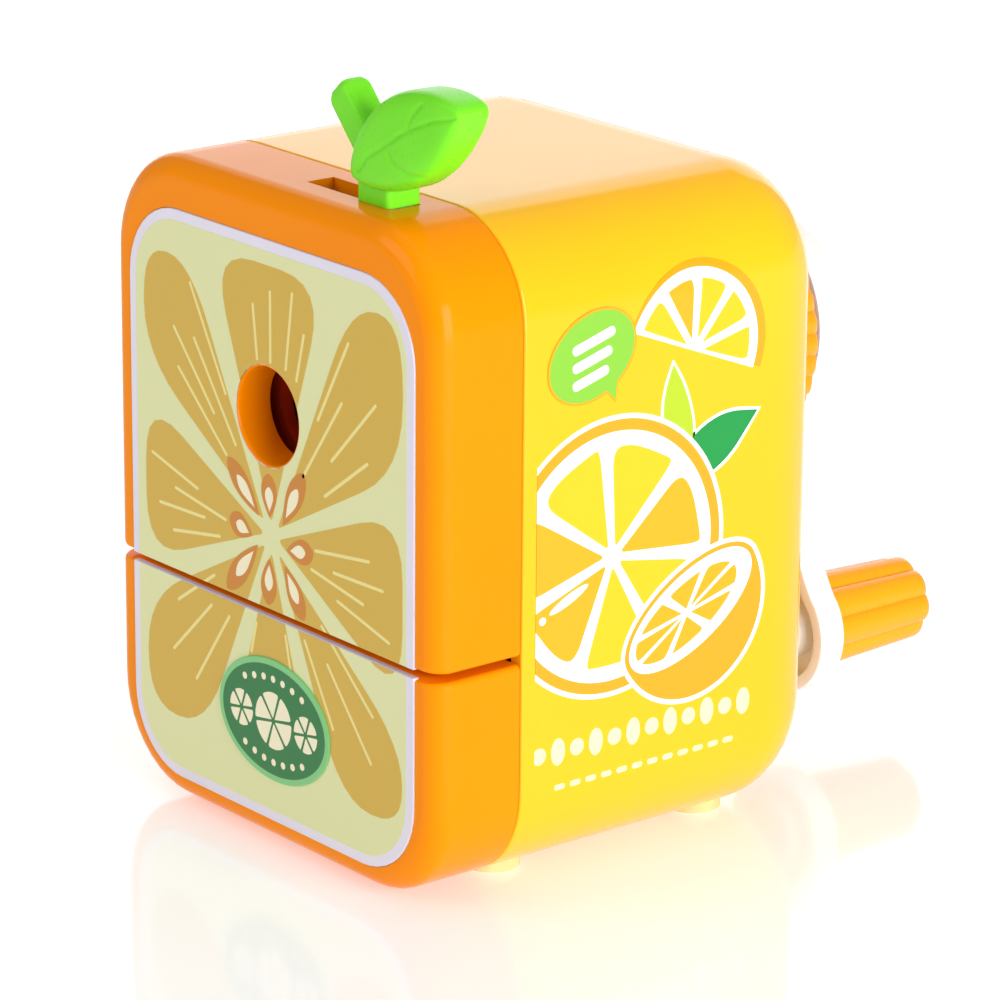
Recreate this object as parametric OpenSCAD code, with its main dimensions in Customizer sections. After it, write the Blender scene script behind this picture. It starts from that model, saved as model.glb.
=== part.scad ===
// Hand-crank desk pencil sharpener with a feed carriage, a lever-worked pencil clamp,
// a planetary helical cutter, a point adjuster and a shavings drawer.
// +Z is up and the front faces -Y. The origin is on the surface it stands on, under the middle of its box.

/* [Body] */
// Width of the body
body_w = 64; // [62:1:70]
// Height of the body's top above the surface
body_h = 82; // [82:1:88]
// Depth of the body from its front face to its back wall
body_d = 63; // [63:1:68]
// Radius of the four long edges
edge_r = 12.6; // [10:0.2:14]
// Radius of the front face's edge
front_r = 2.7; // [1:0.1:3]
// Radius of the back's edges
back_r = 14; // [10:0.5:15]
// Wall thickness of the plastic shells
wall = 2; // [1.6:0.1:2.4]
// Depth of the orange front, cover and drawer alike
seam_d = 12.7; // [12.5:0.1:13]
// Height of the split between the cover and the drawer
split_z = 30; // [29:0.5:31]
// Gap left at the split
split_gap = 1; // [0.6:0.1:1.4]
// Standing height of the rubber feet
foot_h = 0.8; // [0.6:0.1:1.2]

/* [Face panels] */
// Half width of the face panels
panel_half_w = 28; // [26:0.5:29]
// Lower edge of the lower panel
panel_z0 = 3.6; // [3:0.2:5]
// Upper edge of the upper panel
panel_z1 = 75.9; // [74:0.1:77]
// Radius of the panels' outer corners
panel_r = 9.8; // [8:0.1:11]

/* [Pencil path] */
// Height of the pencil and crank axis
axis_z = 54.4; // [54:0.2:55]
// Radius of the pencil hole
hole_r = 5.94; // [5:0.02:6]
// Radius between the jaws when they are closed
jaw_closed_r = 3; // [3:0.1:3.4]
// Radial travel of the jaws
jaw_travel = 2.6; // [2:0.1:2.6]
// Sideways travel of the lever
lever_travel = 10; // [8:0.5:10]
// Travel of the feed carriage
feed_travel = 23.5; // [18:0.5:23.5]

/* [Cutter] */
// Teeth of the fixed ring gear
ring_teeth = 32; // [32:1:32]
// Teeth of the cutter's pinion
pinion_teeth = 11; // [11:1:11]
// Gear module
gear_module = 1; // [1:1:1]
// Angle between the cutter's axle and the pencil
cutter_tilt = 10.3; // [10:0.1:10.6]
// Radius over the cutting edges
cutter_r = 5.75; // [5:0.05:5.8]
// Number of cutting edges
cutter_edges = 12; // [8:1:16]

/* [Crank] */
// Sideways place of the handle's axis at rest
handle_x = 7.2; // [0:0.1:12]
// Height of the handle's axis at rest
handle_z = 13.9; // [13:0.1:16]
// Radius of the arm's hub
hub_r = 13.5; // [12:0.1:14]
// Radius of the arm's handle end
arm_end_r = 8.2; // [7:0.1:9]
// Radius of the adjuster knob
knob_r = 17.1; // [16:0.1:18]

/* [Hidden] */
$fn = 64;

yellow = "#FFD22A";
orange = "#FF9A0A";
cream = "#DDDCAE";
leaf_green = "#6FD836";
badge_green = "#16843B";
white = "#F4F2EE";
steel = "#B9BEC4";
brass = "#C9A24A";
rubber_black = "#2A2A2C";
frame_grey = "#D8D8D4";

// Depths, measured back from the front face.
panel_t = 0.8;
panel_sink = 0.6;
badge_t = 0.3;
grip_d = [80.3, 97.5];
front_y = -(grip_d[1] + panel_sink - panel_t - badge_t) / 2;
cover_end_d = seam_d - 0.1;
boss_end_d = 4.6;
lever_d = [4.9, 6.2];
ring_d = [6.5, 8.1];
jaw_d = [8.3, 10.8];
plate_d = [11, 12.5];
frame_d = [13.8, 15.8];
gear_d = [15.8, 24];
carrier_front_d = [16.4, 17.4];
pinion_mid_d = 20.8;
carrier_rear_d = [48.2, 50.8];
carrier_hub_d = 54;
knob_d = [63.4, 72.5];
arm_d = [75.5, 80];
shaft_end_d = 78.6;

// Parting line between the cover and the drawer.
cover_z0 = split_z + split_gap / 2;
drawer_z1 = split_z - split_gap / 2;

// Feed carriage.
rod_x = 24;
rod_r = 1.5;
rod_end_d = 55;
collar_d = [53, 55];
collar_r = 3.1;
guide_end_d = 20;
guide_boss_r = 3.3;
spring_r = 2.5;
spring_wire_r = 0.35;
spring_turns = 12;

// Clamp.
boss_wall = 1.6;
jaw_angles = [270, 30, 150];
jaw_half_w = 2.9;
jaw_length = 9;
jaw_pin_r = 1;
jaw_pin_offset = 5.5;
ring_r = 14.9;
ring_bore_r = 6.2;
rim_r = 15.2;
lever_pin_at = 13;
lever_pin_r = 1.2;
ring_turn = 2 * asin(lever_travel / 2 / lever_pin_at);
lever_pin_x = lever_travel / 2;
lever_pin_z = axis_z + sqrt(lever_pin_at * lever_pin_at - lever_pin_x * lever_pin_x);
slot_x = [0.3, 16.9];
slot_d = [5.5, 9.4];
neck_x = [11.4, 15.9];
neck_d = [5.9, 9];
neck_top_z = body_h + 2.6;
lever_x = [-3.5, 18.5];
lever_z0 = 74.5;
lever_top_z = body_h - wall - 0.2;
clamp_spring_r = 1.4;
clamp_spring_x = [-18.9, -3.5];
clamp_spring_z = 77.4;
spring_seat_end_d = 9.6;

// Gears.
pitch_r = gear_module * ring_teeth / 2;
pinion_pitch_r = gear_module * pinion_teeth / 2;
pinion_offset = pitch_r - pinion_pitch_r;
pinion_t = 3.4;
pinion_bore_r = 3;
cutter_s = [2.8, 26];
axle_s = [-3.9, 30.3];
pin_r = 1.6;
gear_outer_r = 20;

// Nose of the cutter carrier, which turns in the frame wall.
nose_r = 6.5;
nose_bore_r = 5.2;

// Crank.
shaft_r = 3;
shaft_bore_end_d = 72.2;
stop_r = 1.1;
screw_hole_d = 73;
screw_shank_r = 1.25;
screw_head_r = 3.2;
waist_half_w = 4.6;
waist_arc_r = 28;
crank_length = sqrt(handle_x * handle_x + pow(axis_z - handle_z, 2));
crank_angle = atan2(handle_x, axis_z - handle_z);
handle_pin_r = 2;
handle_head_d = [94.9, 96];
pin_head_r = 3;
cap_r = 3.4;

// Radial clearance of a shaft that turns or slides in its hole.
running_fit = 0.06;

// Clearance of a part that sits inside the shell.
shell_fit = 0.05;

// ---- shared shapes ----

// A rectangle from (x0, y0) to (x1, y1) with its own radius at each corner,
// in the order bottom left, bottom right, top right, top left.
module corner_rect(x0, x1, y0, y1, radii) {
    corners = [[x0, y0, 1, 1], [x1, y0, -1, 1], [x1, y1, -1, -1], [x0, y1, 1, -1]];
    difference() {
        translate([x0, y0]) square([x1 - x0, y1 - y0]);
        for (i = [0:3]) {
            r = radii[i];
            c = corners[i];
            if (r > 0) {
                translate([c[0] + c[2] * r, c[1] + c[3] * r]) difference() {
                    translate([-(c[2] + 1) / 2 * (r + 1), -(c[3] + 1) / 2 * (r + 1)]) square(r + 1);
                    circle(r);
                }
            }
        }
    }
}

// A flat outline in X and Z, made solid from depth d0 to depth d1.
module slab(d0, d1) {
    translate([0, front_y + d1, 0]) rotate([90, 0, 0]) linear_extrude(d1 - d0) children();
}

// A round bar along the depth at (x, z).
module rod(x, z, d0, d1, r) {
    translate([x, front_y + d1, z]) rotate([90, 0, 0]) cylinder(h = d1 - d0, r = r);
}

// A box given by its limits across, in depth and in height.
module block(xs, ds, zs) {
    translate([xs[0], front_y + ds[0], zs[0]]) cube([xs[1] - xs[0], ds[1] - ds[0], zs[1] - zs[0]]);
}

// The body's front outline, drawn in by t.
module front_outline(t) {
    r = edge_r - t;
    corner_rect(-body_w / 2 + t, body_w / 2 - t, foot_h + t, body_h - t, [r, r, r, r]);
}

// The body's outer form drawn in by t, between two depths.
module body_form(t, d0, d1) {
    f = max(front_r - t, 0.4);
    b = back_r - t;
    y0 = front_y + t;
    y1 = front_y + body_d - t;
    intersection() {
        slab(d0, d1) front_outline(t);
        translate([-body_w / 2, 0, 0]) rotate([90, 0, 90]) linear_extrude(body_w)
            corner_rect(y0, y1, foot_h + t, body_h - t, [f, b, b, f]);
        linear_extrude(body_h) corner_rect(-body_w / 2 + t, body_w / 2 - t, y0, y1, [f, f, b, b]);
    }
}

// The whole outline of the two face panels, drawn in by t.
module panel_outline(t) {
    r = panel_r - t;
    corner_rect(-panel_half_w + t, panel_half_w - t, panel_z0 + t, panel_z1 - t, [r, r, r, r]);
}

// A coil spring along +Z from the origin.
function coil_point(r, length, turns, steps, i) =
    [r * cos(360 * turns * i / steps), r * sin(360 * turns * i / steps), length * i / steps];
module coil(r, wire_r, length, turns) {
    sides = 6;
    steps = turns * 14;
    points = [
        for (i = [0:steps]) let (p = coil_point(r, length, turns, steps, i), a = 360 * turns * i / steps)
            for (k = [0:sides - 1]) let (q = 360 * k / sides)
                p + wire_r * [cos(q) * cos(a), cos(q) * sin(a), sin(q)]
    ];
    start = [for (k = [0:sides - 1]) k];
    end = [for (k = [sides - 1:-1:0]) steps * sides + k];
    around = [
        for (i = [0:steps - 1]) for (k = [0:sides - 1]) let (n = (k + 1) % sides)
            [i * sides + k, (i + 1) * sides + k, (i + 1) * sides + n, i * sides + n]
    ];
    polyhedron(points, concat([start], around, [end]), convexity = 10);
}

// Moves a shape drawn along +Z so that it runs back along the depth from d0 at (x, z).
module along_depth(x, z, d0) {
    translate([x, front_y + d0, z]) rotate([-90, 0, 0]) children();
}

// One gear tooth pointing along +X: half widths hw at radii rs.
module tooth(rs, hw) {
    polygon([
        [rs[0], -hw[0]], [rs[1], -hw[1]], [rs[2], -hw[2]],
        [rs[2], hw[2]], [rs[1], hw[1]], [rs[0], hw[0]]
    ]);
}

// ---- housing ----

pillar_x = 24.5;
pillar_zs = [39, 71.5];
pillar_r = 3.1;
screw_r = 1.1;
foot_r = 3.5;
foot_x = 20;
foot_ds = [18, 50];
foot_sink = 0.6;
bush_r = 5;
hexagon_r = 4.7;

module rear_housing() {
    color(yellow) difference() {
        union() {
            difference() {
                body_form(0, seam_d, body_d);
                body_form(wall, seam_d - 1, body_d);
            }
            intersection() {
                body_form(wall / 2, seam_d, body_d);
                for (x = [-pillar_x, pillar_x], z = pillar_zs)
                    rod(x, z, frame_d[1], body_d - wall / 2, pillar_r);
            }
        }
        for (x = [-pillar_x, pillar_x], z = pillar_zs) rod(x, z, frame_d[1] - 1, frame_d[1] + 8, screw_r);
        for (x = [-foot_x, foot_x], d = foot_ds)
            translate([x, front_y + d, foot_h - 1]) cylinder(h = 1 + foot_sink, r = foot_r);
        rod(0, axis_z, body_d - wall - 1, body_d + 1, bush_r);
    }
}

module inner_frame() {
    fit = wall + shell_fit;
    shelf_z = [29.8, 31.4];
    shelf_end_d = 47;
    chute_half_w = 17;
    chute_d = [18.5, 43];
    color(frame_grey) difference() {
        union() {
            intersection() {
                slab(frame_d[0], frame_d[1]) front_outline(fit);
                block([-body_w, body_w], frame_d, [shelf_z[0], body_h]);
            }
            block([-body_w / 2 + fit, body_w / 2 - fit], [frame_d[1] - 0.5, shelf_end_d], shelf_z);
            for (x = [-rod_x, rod_x]) rod(x, axis_z, frame_d[1] - 0.5, guide_end_d, guide_boss_r);
        }
        rod(0, axis_z, frame_d[0] - 1, frame_d[1] + 1, nose_r + running_fit);
        for (x = [-rod_x, rod_x]) rod(x, axis_z, frame_d[0] - 1, guide_end_d + 1, rod_r + running_fit);
        for (x = [-pillar_x, pillar_x], z = pillar_zs) rod(x, z, frame_d[0] - 1, frame_d[1] + 1, screw_r);
        block([-chute_half_w, chute_half_w], chute_d, [shelf_z[0] - 1, shelf_z[1] + 1]);
    }
}

module frame_screws() {
    head_d = [frame_d[0] - 0.9, frame_d[0]];
    head_r = 2.3;
    recess_end_d = head_d[0] + 0.45;
    recess = [1.6, 0.3];
    color(steel) for (x = [-pillar_x, pillar_x], z = pillar_zs) difference() {
        union() {
            rod(x, z, head_d[0], head_d[1], head_r);
            rod(x, z, head_d[1] - 0.2, frame_d[1] + 7, screw_r);
        }
        for (half = [recess, [recess[1], recess[0]]])
            block([x - half[0], x + half[0]], [head_d[0] - 1, recess_end_d], [z - half[1], z + half[1]]);
    }
}

module rubber_feet() {
    color(rubber_black) for (x = [-foot_x, foot_x], d = foot_ds)
        translate([x, front_y + d, 0]) cylinder(h = foot_h + foot_sink, r = foot_r);
}

// The bush's collar lies inside the back wall, and its hexagon keeps the adjuster's nut from turning.
module rear_bush() {
    collar = [body_d - wall - 2, body_d - wall];
    round_end_d = 66;
    hexagon_end_d = 68;
    color(brass) difference() {
        union() {
            rod(0, axis_z, collar[0], collar[1], bush_r + 2.5);
            rod(0, axis_z, collar[1] - 0.5, round_end_d, bush_r);
            translate([0, front_y + hexagon_end_d, axis_z]) rotate([90, 0, 0])
                cylinder(h = hexagon_end_d - round_end_d + 0.5, r = hexagon_r, $fn = 6);
        }
        rod(0, axis_z, collar[0] - 1, hexagon_end_d + 1, shaft_r + running_fit);
    }
}

module ring_gear() {
    root_r = pitch_r + 1.6;
    tip_r = pitch_r - 0.8;
    half_widths = [0.38, 0.6, 1.15];
    color(steel) slab(gear_d[0], gear_d[1]) translate([0, axis_z]) difference() {
        circle(gear_outer_r);
        difference() {
            circle(root_r);
            for (i = [0:ring_teeth - 1]) rotate(i * 360 / ring_teeth)
                tooth([tip_r, pitch_r, root_r + 0.5], half_widths);
        }
    }
}

module feed_spring(side) {
    color(steel) along_depth(side * rod_x, axis_z, guide_end_d + spring_wire_r)
        coil(spring_r, spring_wire_r, collar_d[0] - guide_end_d - 2 * spring_wire_r, spring_turns);
}

module feed_spring_left() {
    feed_spring(-1);
}

module feed_spring_right() {
    feed_spring(1);
}

// ---- feed carriage ----

module front_cover() {
    chamfer = 0.7;
    color(orange) difference() {
        union() {
            difference() {
                intersection() {
                    body_form(0, 0, cover_end_d);
                    block([-body_w, body_w], [0, body_d], [cover_z0, body_h]);
                }
                intersection() {
                    body_form(wall, wall, cover_end_d + 1);
                    block([-body_w, body_w], [0, body_d], [cover_z0 + wall, body_h]);
                }
            }
            rod(0, axis_z, wall - 0.5, boss_end_d, hole_r + boss_wall);
            block([clamp_spring_x[0] - 1.5, clamp_spring_x[0]], [wall - 0.5, spring_seat_end_d],
                [clamp_spring_z - 1.9, body_h - wall + 0.5]);
        }
        rod(0, axis_z, -1, boss_end_d + 1, hole_r);
        translate([0, front_y + panel_sink + chamfer, axis_z]) rotate([90, 0, 0])
            cylinder(h = chamfer + 0.1, r1 = hole_r, r2 = hole_r + chamfer + 0.1);
        intersection() {
            slab(-1, panel_sink) panel_outline(0);
            block([-body_w, body_w], [-2, 2], [cover_z0 - 1, body_h]);
        }
        block(slot_x, slot_d, [body_h - wall - 1, body_h + 1]);
    }
}

panel_fit = 0.05;

module upper_face_panel() {
    ring_w = 0.9;
    color(cream) difference() {
        intersection() {
            slab(panel_sink - panel_t, panel_sink) panel_outline(panel_fit);
            block([-body_w, body_w], [-2, 2], [cover_z0, body_h]);
        }
        rod(0, axis_z, -1, 1, hole_r + ring_w);
    }
}

module carriage_plate() {
    fit = wall + shell_fit;
    rib_gap = jaw_half_w + 0.2;
    rib_t = 1.2;
    rib_from = 7.5;
    color(frame_grey) difference() {
        union() {
            intersection() {
                slab(plate_d[0], plate_d[1]) front_outline(fit);
                block([-body_w, body_w], plate_d, [cover_z0 + fit, body_h]);
            }
            difference() {
                rod(0, axis_z, ring_d[0], plate_d[0] + 0.5, rim_r + boss_wall);
                rod(0, axis_z, ring_d[0] - 1, plate_d[0], rim_r);
            }
            for (a = jaw_angles, side = [-1, 1]) slab(jaw_d[0], plate_d[0] + 0.5)
                translate([0, axis_z]) rotate(a) translate([rib_from, side > 0 ? rib_gap : -rib_gap - rib_t])
                    square([rim_r + 0.5 - rib_from, rib_t]);
        }
        rod(0, axis_z, plate_d[0] - 1, plate_d[1] + 1, hole_r);
    }
}

module guide_rod(side) {
    color(steel) rod(side * rod_x, axis_z, plate_d[1], rod_end_d, rod_r);
}

module guide_rod_left() {
    guide_rod(-1);
}

module guide_rod_right() {
    guide_rod(1);
}

module rod_collars() {
    color(steel) for (x = [-rod_x, rod_x]) difference() {
        rod(x, axis_z, collar_d[0], collar_d[1], collar_r);
        rod(x, axis_z, collar_d[0] - 1, collar_d[1] + 1, rod_r);
    }
}

module clamp_spring() {
    wire_r = 0.25;
    turns = 9;
    length = clamp_spring_x[1] - clamp_spring_x[0] - 2 * wire_r;
    color(steel) translate([clamp_spring_x[0] + wire_r, front_y + 8, clamp_spring_z]) rotate([0, 90, 0])
        coil(clamp_spring_r, wire_r, length, turns);
}

// ---- clamp ----

// The leaf, its stem block and the stalk are one moulding, pressed onto the lever's neck.
module leaf_cap() {
    leaf_length = 23;
    leaf_width = 13.4;
    leaf_d = [3.4, 8.9];
    leaf_at = [20.4, 90.2];
    leaf_tilt = 28;
    stem_x = [10.6, 16.7];
    stem_d = [4.8, 9.7];
    stem_top_z = 87.5;
    stalk_at = [13.6, 85];
    stalk_lean = 43;
    stalk_w = 4.4;
    stalk_length = 13.6;
    stalk_inset = 0.9;
    stalk_tip_r = 1.2;
    arc_r = (leaf_length * leaf_length + leaf_width * leaf_width) / 4 / leaf_width;
    color(leaf_green) difference() {
        union() {
            slab(leaf_d[0], leaf_d[1]) translate(leaf_at) rotate(leaf_tilt) intersection() {
                translate([0, arc_r - leaf_width / 2]) circle(arc_r);
                translate([0, -arc_r + leaf_width / 2]) circle(arc_r);
            }
            block(stem_x, stem_d, [body_h + 0.3, stem_top_z]);
            slab(stem_d[0] + stalk_inset, stem_d[1]) translate(stalk_at) rotate(stalk_lean)
                translate([-stalk_w / 2, -1])
                    corner_rect(0, stalk_w, 0, stalk_length, [0, 0, stalk_tip_r, stalk_tip_r]);
        }
        block(neck_x, neck_d, [body_h, neck_top_z]);
    }
}

module lever_plate() {
    fork_half_w = 3.2;
    fork_z0 = 63.2;
    gap_half_w = lever_pin_r + 0.2;
    gap_top_z = 69.4;
    seat_t = 2;
    color(white) difference() {
        union() {
            block(lever_x, lever_d, [lever_z0, lever_top_z]);
            block([lever_pin_x - fork_half_w, lever_pin_x + fork_half_w], lever_d,
                [fork_z0, lever_z0 + 0.5]);
            block(neck_x, [lever_d[0], neck_d[1]], [lever_z0 + 2, lever_top_z]);
            block(neck_x, neck_d, [lever_top_z - 1, neck_top_z]);
            block([lever_x[0], lever_x[0] + seat_t], [lever_d[0], spring_seat_end_d],
                [lever_z0 + 1, lever_top_z]);
        }
        block([lever_pin_x - gap_half_w, lever_pin_x + gap_half_w], [lever_d[0] - 1, lever_d[1] + 1],
            [fork_z0 - 1, gap_top_z]);
    }
}

// The jaw pins' path in the ring: a spiral band that starts at the closed place.
module spiral_slot() {
    steps = 12;
    half_w = jaw_pin_r + 0.3;
    pin_path_r = jaw_closed_r + jaw_pin_offset;
    function path_r(t) = pin_path_r + jaw_travel * t;
    function at(r, a) = [r * cos(a), r * sin(a)];
    outer = [for (i = [0:steps]) at(path_r(i / steps) + half_w, -ring_turn * i / steps)];
    inner = [for (i = [steps:-1:0]) at(path_r(i / steps) - half_w, -ring_turn * i / steps)];
    union() {
        polygon(concat(outer, inner));
        translate([pin_path_r, 0]) circle(half_w);
        rotate(-ring_turn) translate([pin_path_r + jaw_travel, 0]) circle(half_w);
    }
}

module clamp_ring() {
    color(orange) {
        slab(ring_d[0], ring_d[1]) translate([0, axis_z]) difference() {
            circle(ring_r);
            circle(ring_bore_r);
            for (a = jaw_angles) rotate(a) spiral_slot();
        }
        rod(lever_pin_x, lever_pin_z, lever_d[0] - 0.1, ring_d[0] + 0.2, lever_pin_r);
    }
}

module clamp_jaw(angle) {
    color(white) {
        slab(jaw_d[0], jaw_d[1]) translate([0, axis_z]) rotate(angle)
            translate([jaw_closed_r, -jaw_half_w]) square([jaw_length, 2 * jaw_half_w]);
        slab(ring_d[0] + 0.1, jaw_d[0] + 0.2) translate([0, axis_z]) rotate(angle)
            translate([jaw_closed_r + jaw_pin_offset, 0]) circle(jaw_pin_r);
    }
}

module clamp_jaw_1() {
    clamp_jaw(jaw_angles[0]);
}

module clamp_jaw_2() {
    clamp_jaw(jaw_angles[1]);
}

module clamp_jaw_3() {
    clamp_jaw(jaw_angles[2]);
}

// ---- rotor ----

// Places a shape drawn along +Z on the cutter's inclined axle, with z = 0 at the pinion's middle.
module on_axle() {
    translate([0, front_y + pinion_mid_d, axis_z + pinion_offset]) rotate([-90 - cutter_tilt, 0, 0])
        children();
}

module axle(r) {
    on_axle() translate([0, 0, axle_s[0]]) cylinder(h = axle_s[1] - axle_s[0], r = r);
}

module cutter_carrier() {
    disc_r = 14.5;
    nose_front_d = 13.2;
    hub_r = 6;
    bar_at = 9.6;
    bar_w = 4.4;
    shaft_seat_d = carrier_rear_d[0] + 1.3;
    color(white) difference() {
        union() {
            rod(0, axis_z, nose_front_d, carrier_front_d[1], nose_r);
            rod(0, axis_z, carrier_front_d[0], carrier_front_d[1], disc_r);
            rod(0, axis_z, carrier_rear_d[0], carrier_rear_d[1], disc_r);
            rod(0, axis_z, carrier_rear_d[0], carrier_hub_d, hub_r);
            for (a = [205, 335]) slab(carrier_front_d[0], carrier_rear_d[1])
                translate([0, axis_z]) rotate(a) translate([bar_at, -bar_w / 2]) square(bar_w);
        }
        rod(0, axis_z, nose_front_d - 1, carrier_front_d[1] + 1, nose_bore_r);
        rod(0, axis_z, carrier_rear_d[0] - 1, shaft_seat_d + 0.1, stop_r + 0.4);
        rod(0, axis_z, shaft_seat_d, carrier_hub_d + 1, shaft_r);
        axle(pin_r);
    }
}

module drive_shaft() {
    cross_slot_d = [68.6, 72];
    cross_slot_half_h = 0.85;
    color(steel) difference() {
        rod(0, axis_z, carrier_rear_d[0] + 1.3, shaft_end_d, shaft_r);
        rod(0, axis_z, carrier_rear_d[0], shaft_bore_end_d, stop_r + running_fit);
        rod(0, axis_z, screw_hole_d, shaft_end_d + 1, screw_shank_r);
        block([-shaft_r - 1, shaft_r + 1], cross_slot_d,
            [axis_z - cross_slot_half_h, axis_z + cross_slot_half_h]);
    }
}

module cutter_pin() {
    color(steel) axle(pin_r);
}

module helical_cutter() {
    inner_edge_r = cutter_r - 0.9;
    step = 360 / cutter_edges;
    edge_twist = 70;
    outline = [
        for (i = [0:cutter_edges - 1]) for (p = [[inner_edge_r, 0], [cutter_r, 0.75]])
            p[0] * [cos((i + p[1]) * step), sin((i + p[1]) * step)]
    ];
    color(steel) on_axle() difference() {
        union() {
            translate([0, 0, cutter_s[0]])
                linear_extrude(cutter_s[1] - cutter_s[0], twist = edge_twist, slices = 16)
                    polygon(outline);
            translate([0, 0, -pinion_t / 2]) cylinder(h = pinion_t + 2, r = pinion_bore_r);
        }
        translate([0, 0, axle_s[0]]) cylinder(h = axle_s[1] - axle_s[0] + 1, r = pin_r + running_fit);
    }
}

module cutter_pinion() {
    root_r = pinion_pitch_r - 1.25;
    step = 360 / pinion_teeth;
    half_widths = [0.95, 0.56, 0.3];
    color(brass) on_axle() translate([0, 0, -pinion_t / 2]) linear_extrude(pinion_t) difference() {
        union() {
            circle(root_r);
            for (i = [0:pinion_teeth - 1]) rotate(270 + (i + 0.5) * step)
                tooth([root_r - 0.4, pinion_pitch_r, pinion_pitch_r + 0.8], half_widths);
        }
        circle(pinion_bore_r);
    }
}

// The rod that the pencil's point meets, and the cross pin that the adjuster's nut moves.
module point_stop() {
    rod_d = [47.4, 71.2];
    cross_d = 70.3;
    cross_length = 8.2;
    color(steel) {
        rod(0, axis_z, rod_d[0], rod_d[1], stop_r);
        translate([-cross_length / 2, front_y + cross_d, axis_z]) rotate([0, 90, 0])
            cylinder(h = cross_length, r = 0.75);
    }
}

// The arm's outline drawn in by t: two round ends joined by two hollow arcs that touch both.
module crank_outline(t) {
    along = sqrt(pow(waist_arc_r + hub_r, 2) - pow(waist_arc_r + waist_half_w, 2));
    centre = [waist_arc_r + waist_half_w, -along];
    hub_touch = centre * hub_r / (waist_arc_r + hub_r);
    to_end = [0, -crank_length] - centre;
    end_touch = centre + to_end * waist_arc_r / norm(to_end);
    translate([0, axis_z]) rotate(crank_angle) difference() {
        union() {
            circle(hub_r - t);
            translate([0, -crank_length]) circle(arm_end_r - t);
            polygon([
                [-hub_touch[0], hub_touch[1]], [hub_touch[0], hub_touch[1]],
                [end_touch[0], end_touch[1]], [-end_touch[0], end_touch[1]]
            ]);
        }
        for (side = [-1, 1]) translate([side * centre[0], centre[1]]) circle(waist_arc_r + t, $fn = 128);
    }
}

module crank_arm() {
    floor_d = arm_d[1] - 1.8;
    rim_t = 1.7;
    boss_front_d = arm_d[0] - 1.5;
    color(white) difference() {
        union() {
            difference() {
                slab(arm_d[0], arm_d[1]) crank_outline(0);
                slab(arm_d[0] - 1, floor_d) crank_outline(rim_t);
            }
            rod(0, axis_z, boss_front_d, arm_d[1], shaft_r + 3);
            rod(handle_x, handle_z, arm_d[0], arm_d[1], handle_pin_r + 2);
        }
        rod(0, axis_z, boss_front_d - 1, shaft_end_d, shaft_r);
        rod(0, axis_z, shaft_end_d - 0.1, arm_d[1] + 1, screw_head_r + 0.3);
        rod(handle_x, handle_z, arm_d[0] - 1, arm_d[1] + 1, handle_pin_r);
    }
}

module crank_screw() {
    recess_d = [arm_d[1] - 0.7, arm_d[1] + 1];
    recess = [2, 0.35];
    color(steel) difference() {
        union() {
            rod(0, axis_z, screw_hole_d, shaft_end_d + 0.1, screw_shank_r);
            rod(0, axis_z, shaft_end_d, arm_d[1] - 0.1, screw_head_r);
        }
        for (half = [recess, [recess[1], recess[0]]])
            block([-half[0], half[0]], recess_d, [axis_z - half[1], axis_z + half[1]]);
    }
}

module handle_pin() {
    color(steel) {
        rod(handle_x, handle_z, arm_d[0] - 0.8, arm_d[0], pin_head_r);
        rod(handle_x, handle_z, arm_d[0], handle_head_d[0] + 0.2, handle_pin_r);
        rod(handle_x, handle_z, handle_head_d[0] + 0.1, handle_head_d[1], pin_head_r);
    }
}

// ---- adjuster ----

// The nut slides on the bush's hexagon, and holds the stop's cross pin in an inner groove.
module adjuster_nut() {
    nut_d = [66.9, 71.9];
    nut_r = 8.9;
    hexagon_end_d = 69;
    groove_d = [69.4, 71.2];
    groove_r = 4.5;
    color(brass) difference() {
        rod(0, axis_z, nut_d[0], nut_d[1], nut_r);
        translate([0, front_y + hexagon_end_d, axis_z]) rotate([90, 0, 0])
            cylinder(h = hexagon_end_d - nut_d[0] + 1, r = hexagon_r + 0.25, $fn = 6);
        rod(0, axis_z, groove_d[0], groove_d[1], groove_r);
        rod(0, axis_z, hexagon_end_d - 0.1, nut_d[1] + 1, shaft_r + 0.4);
    }
}

module adjuster_knob() {
    ribs = 36;
    rib_r = 0.8;
    rim_t = 2.6;
    web_end_d = 66;
    nut_room_r = 9.2;
    nut_wall_r = 11;
    color(orange) difference() {
        union() {
            rod(0, axis_z, knob_d[0], knob_d[1], knob_r - 0.6);
            for (i = [0:ribs - 1]) slab(knob_d[0], knob_d[1])
                translate([0, axis_z]) rotate(i * 360 / ribs) translate([knob_r - rib_r, 0]) circle(rib_r);
        }
        rod(0, axis_z, knob_d[0] - 1, web_end_d + 0.1, bush_r + running_fit);
        rod(0, axis_z, web_end_d, knob_d[1] + 1, nut_room_r);
        difference() {
            rod(0, axis_z, web_end_d, knob_d[1] + 1, knob_r - rim_t);
            rod(0, axis_z, web_end_d - 1, knob_d[1] + 2, nut_wall_r);
        }
    }
}

// ---- handle ----

module handle_grip() {
    lobes = 8;
    core_r = 4.9;
    lobe_r = 1.5;
    lobe_at = 4.2;
    color(orange) difference() {
        slab(grip_d[0], grip_d[1]) translate([handle_x, handle_z]) union() {
            circle(core_r);
            for (i = [0:lobes - 1]) rotate(i * 360 / lobes) translate([lobe_at, 0]) circle(lobe_r);
        }
        rod(handle_x, handle_z, grip_d[0] - 1, grip_d[1] + 1, handle_pin_r + running_fit);
        rod(handle_x, handle_z, handle_head_d[0], grip_d[1] + 1, cap_r);
    }
}

module handle_cap() {
    color(orange) rod(handle_x, handle_z, handle_head_d[1] + 0.3, grip_d[1] - 0.2, cap_r);
}

// ---- drawer ----

bin_top_z = 26.6;
bin_end_d = 57;

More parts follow.
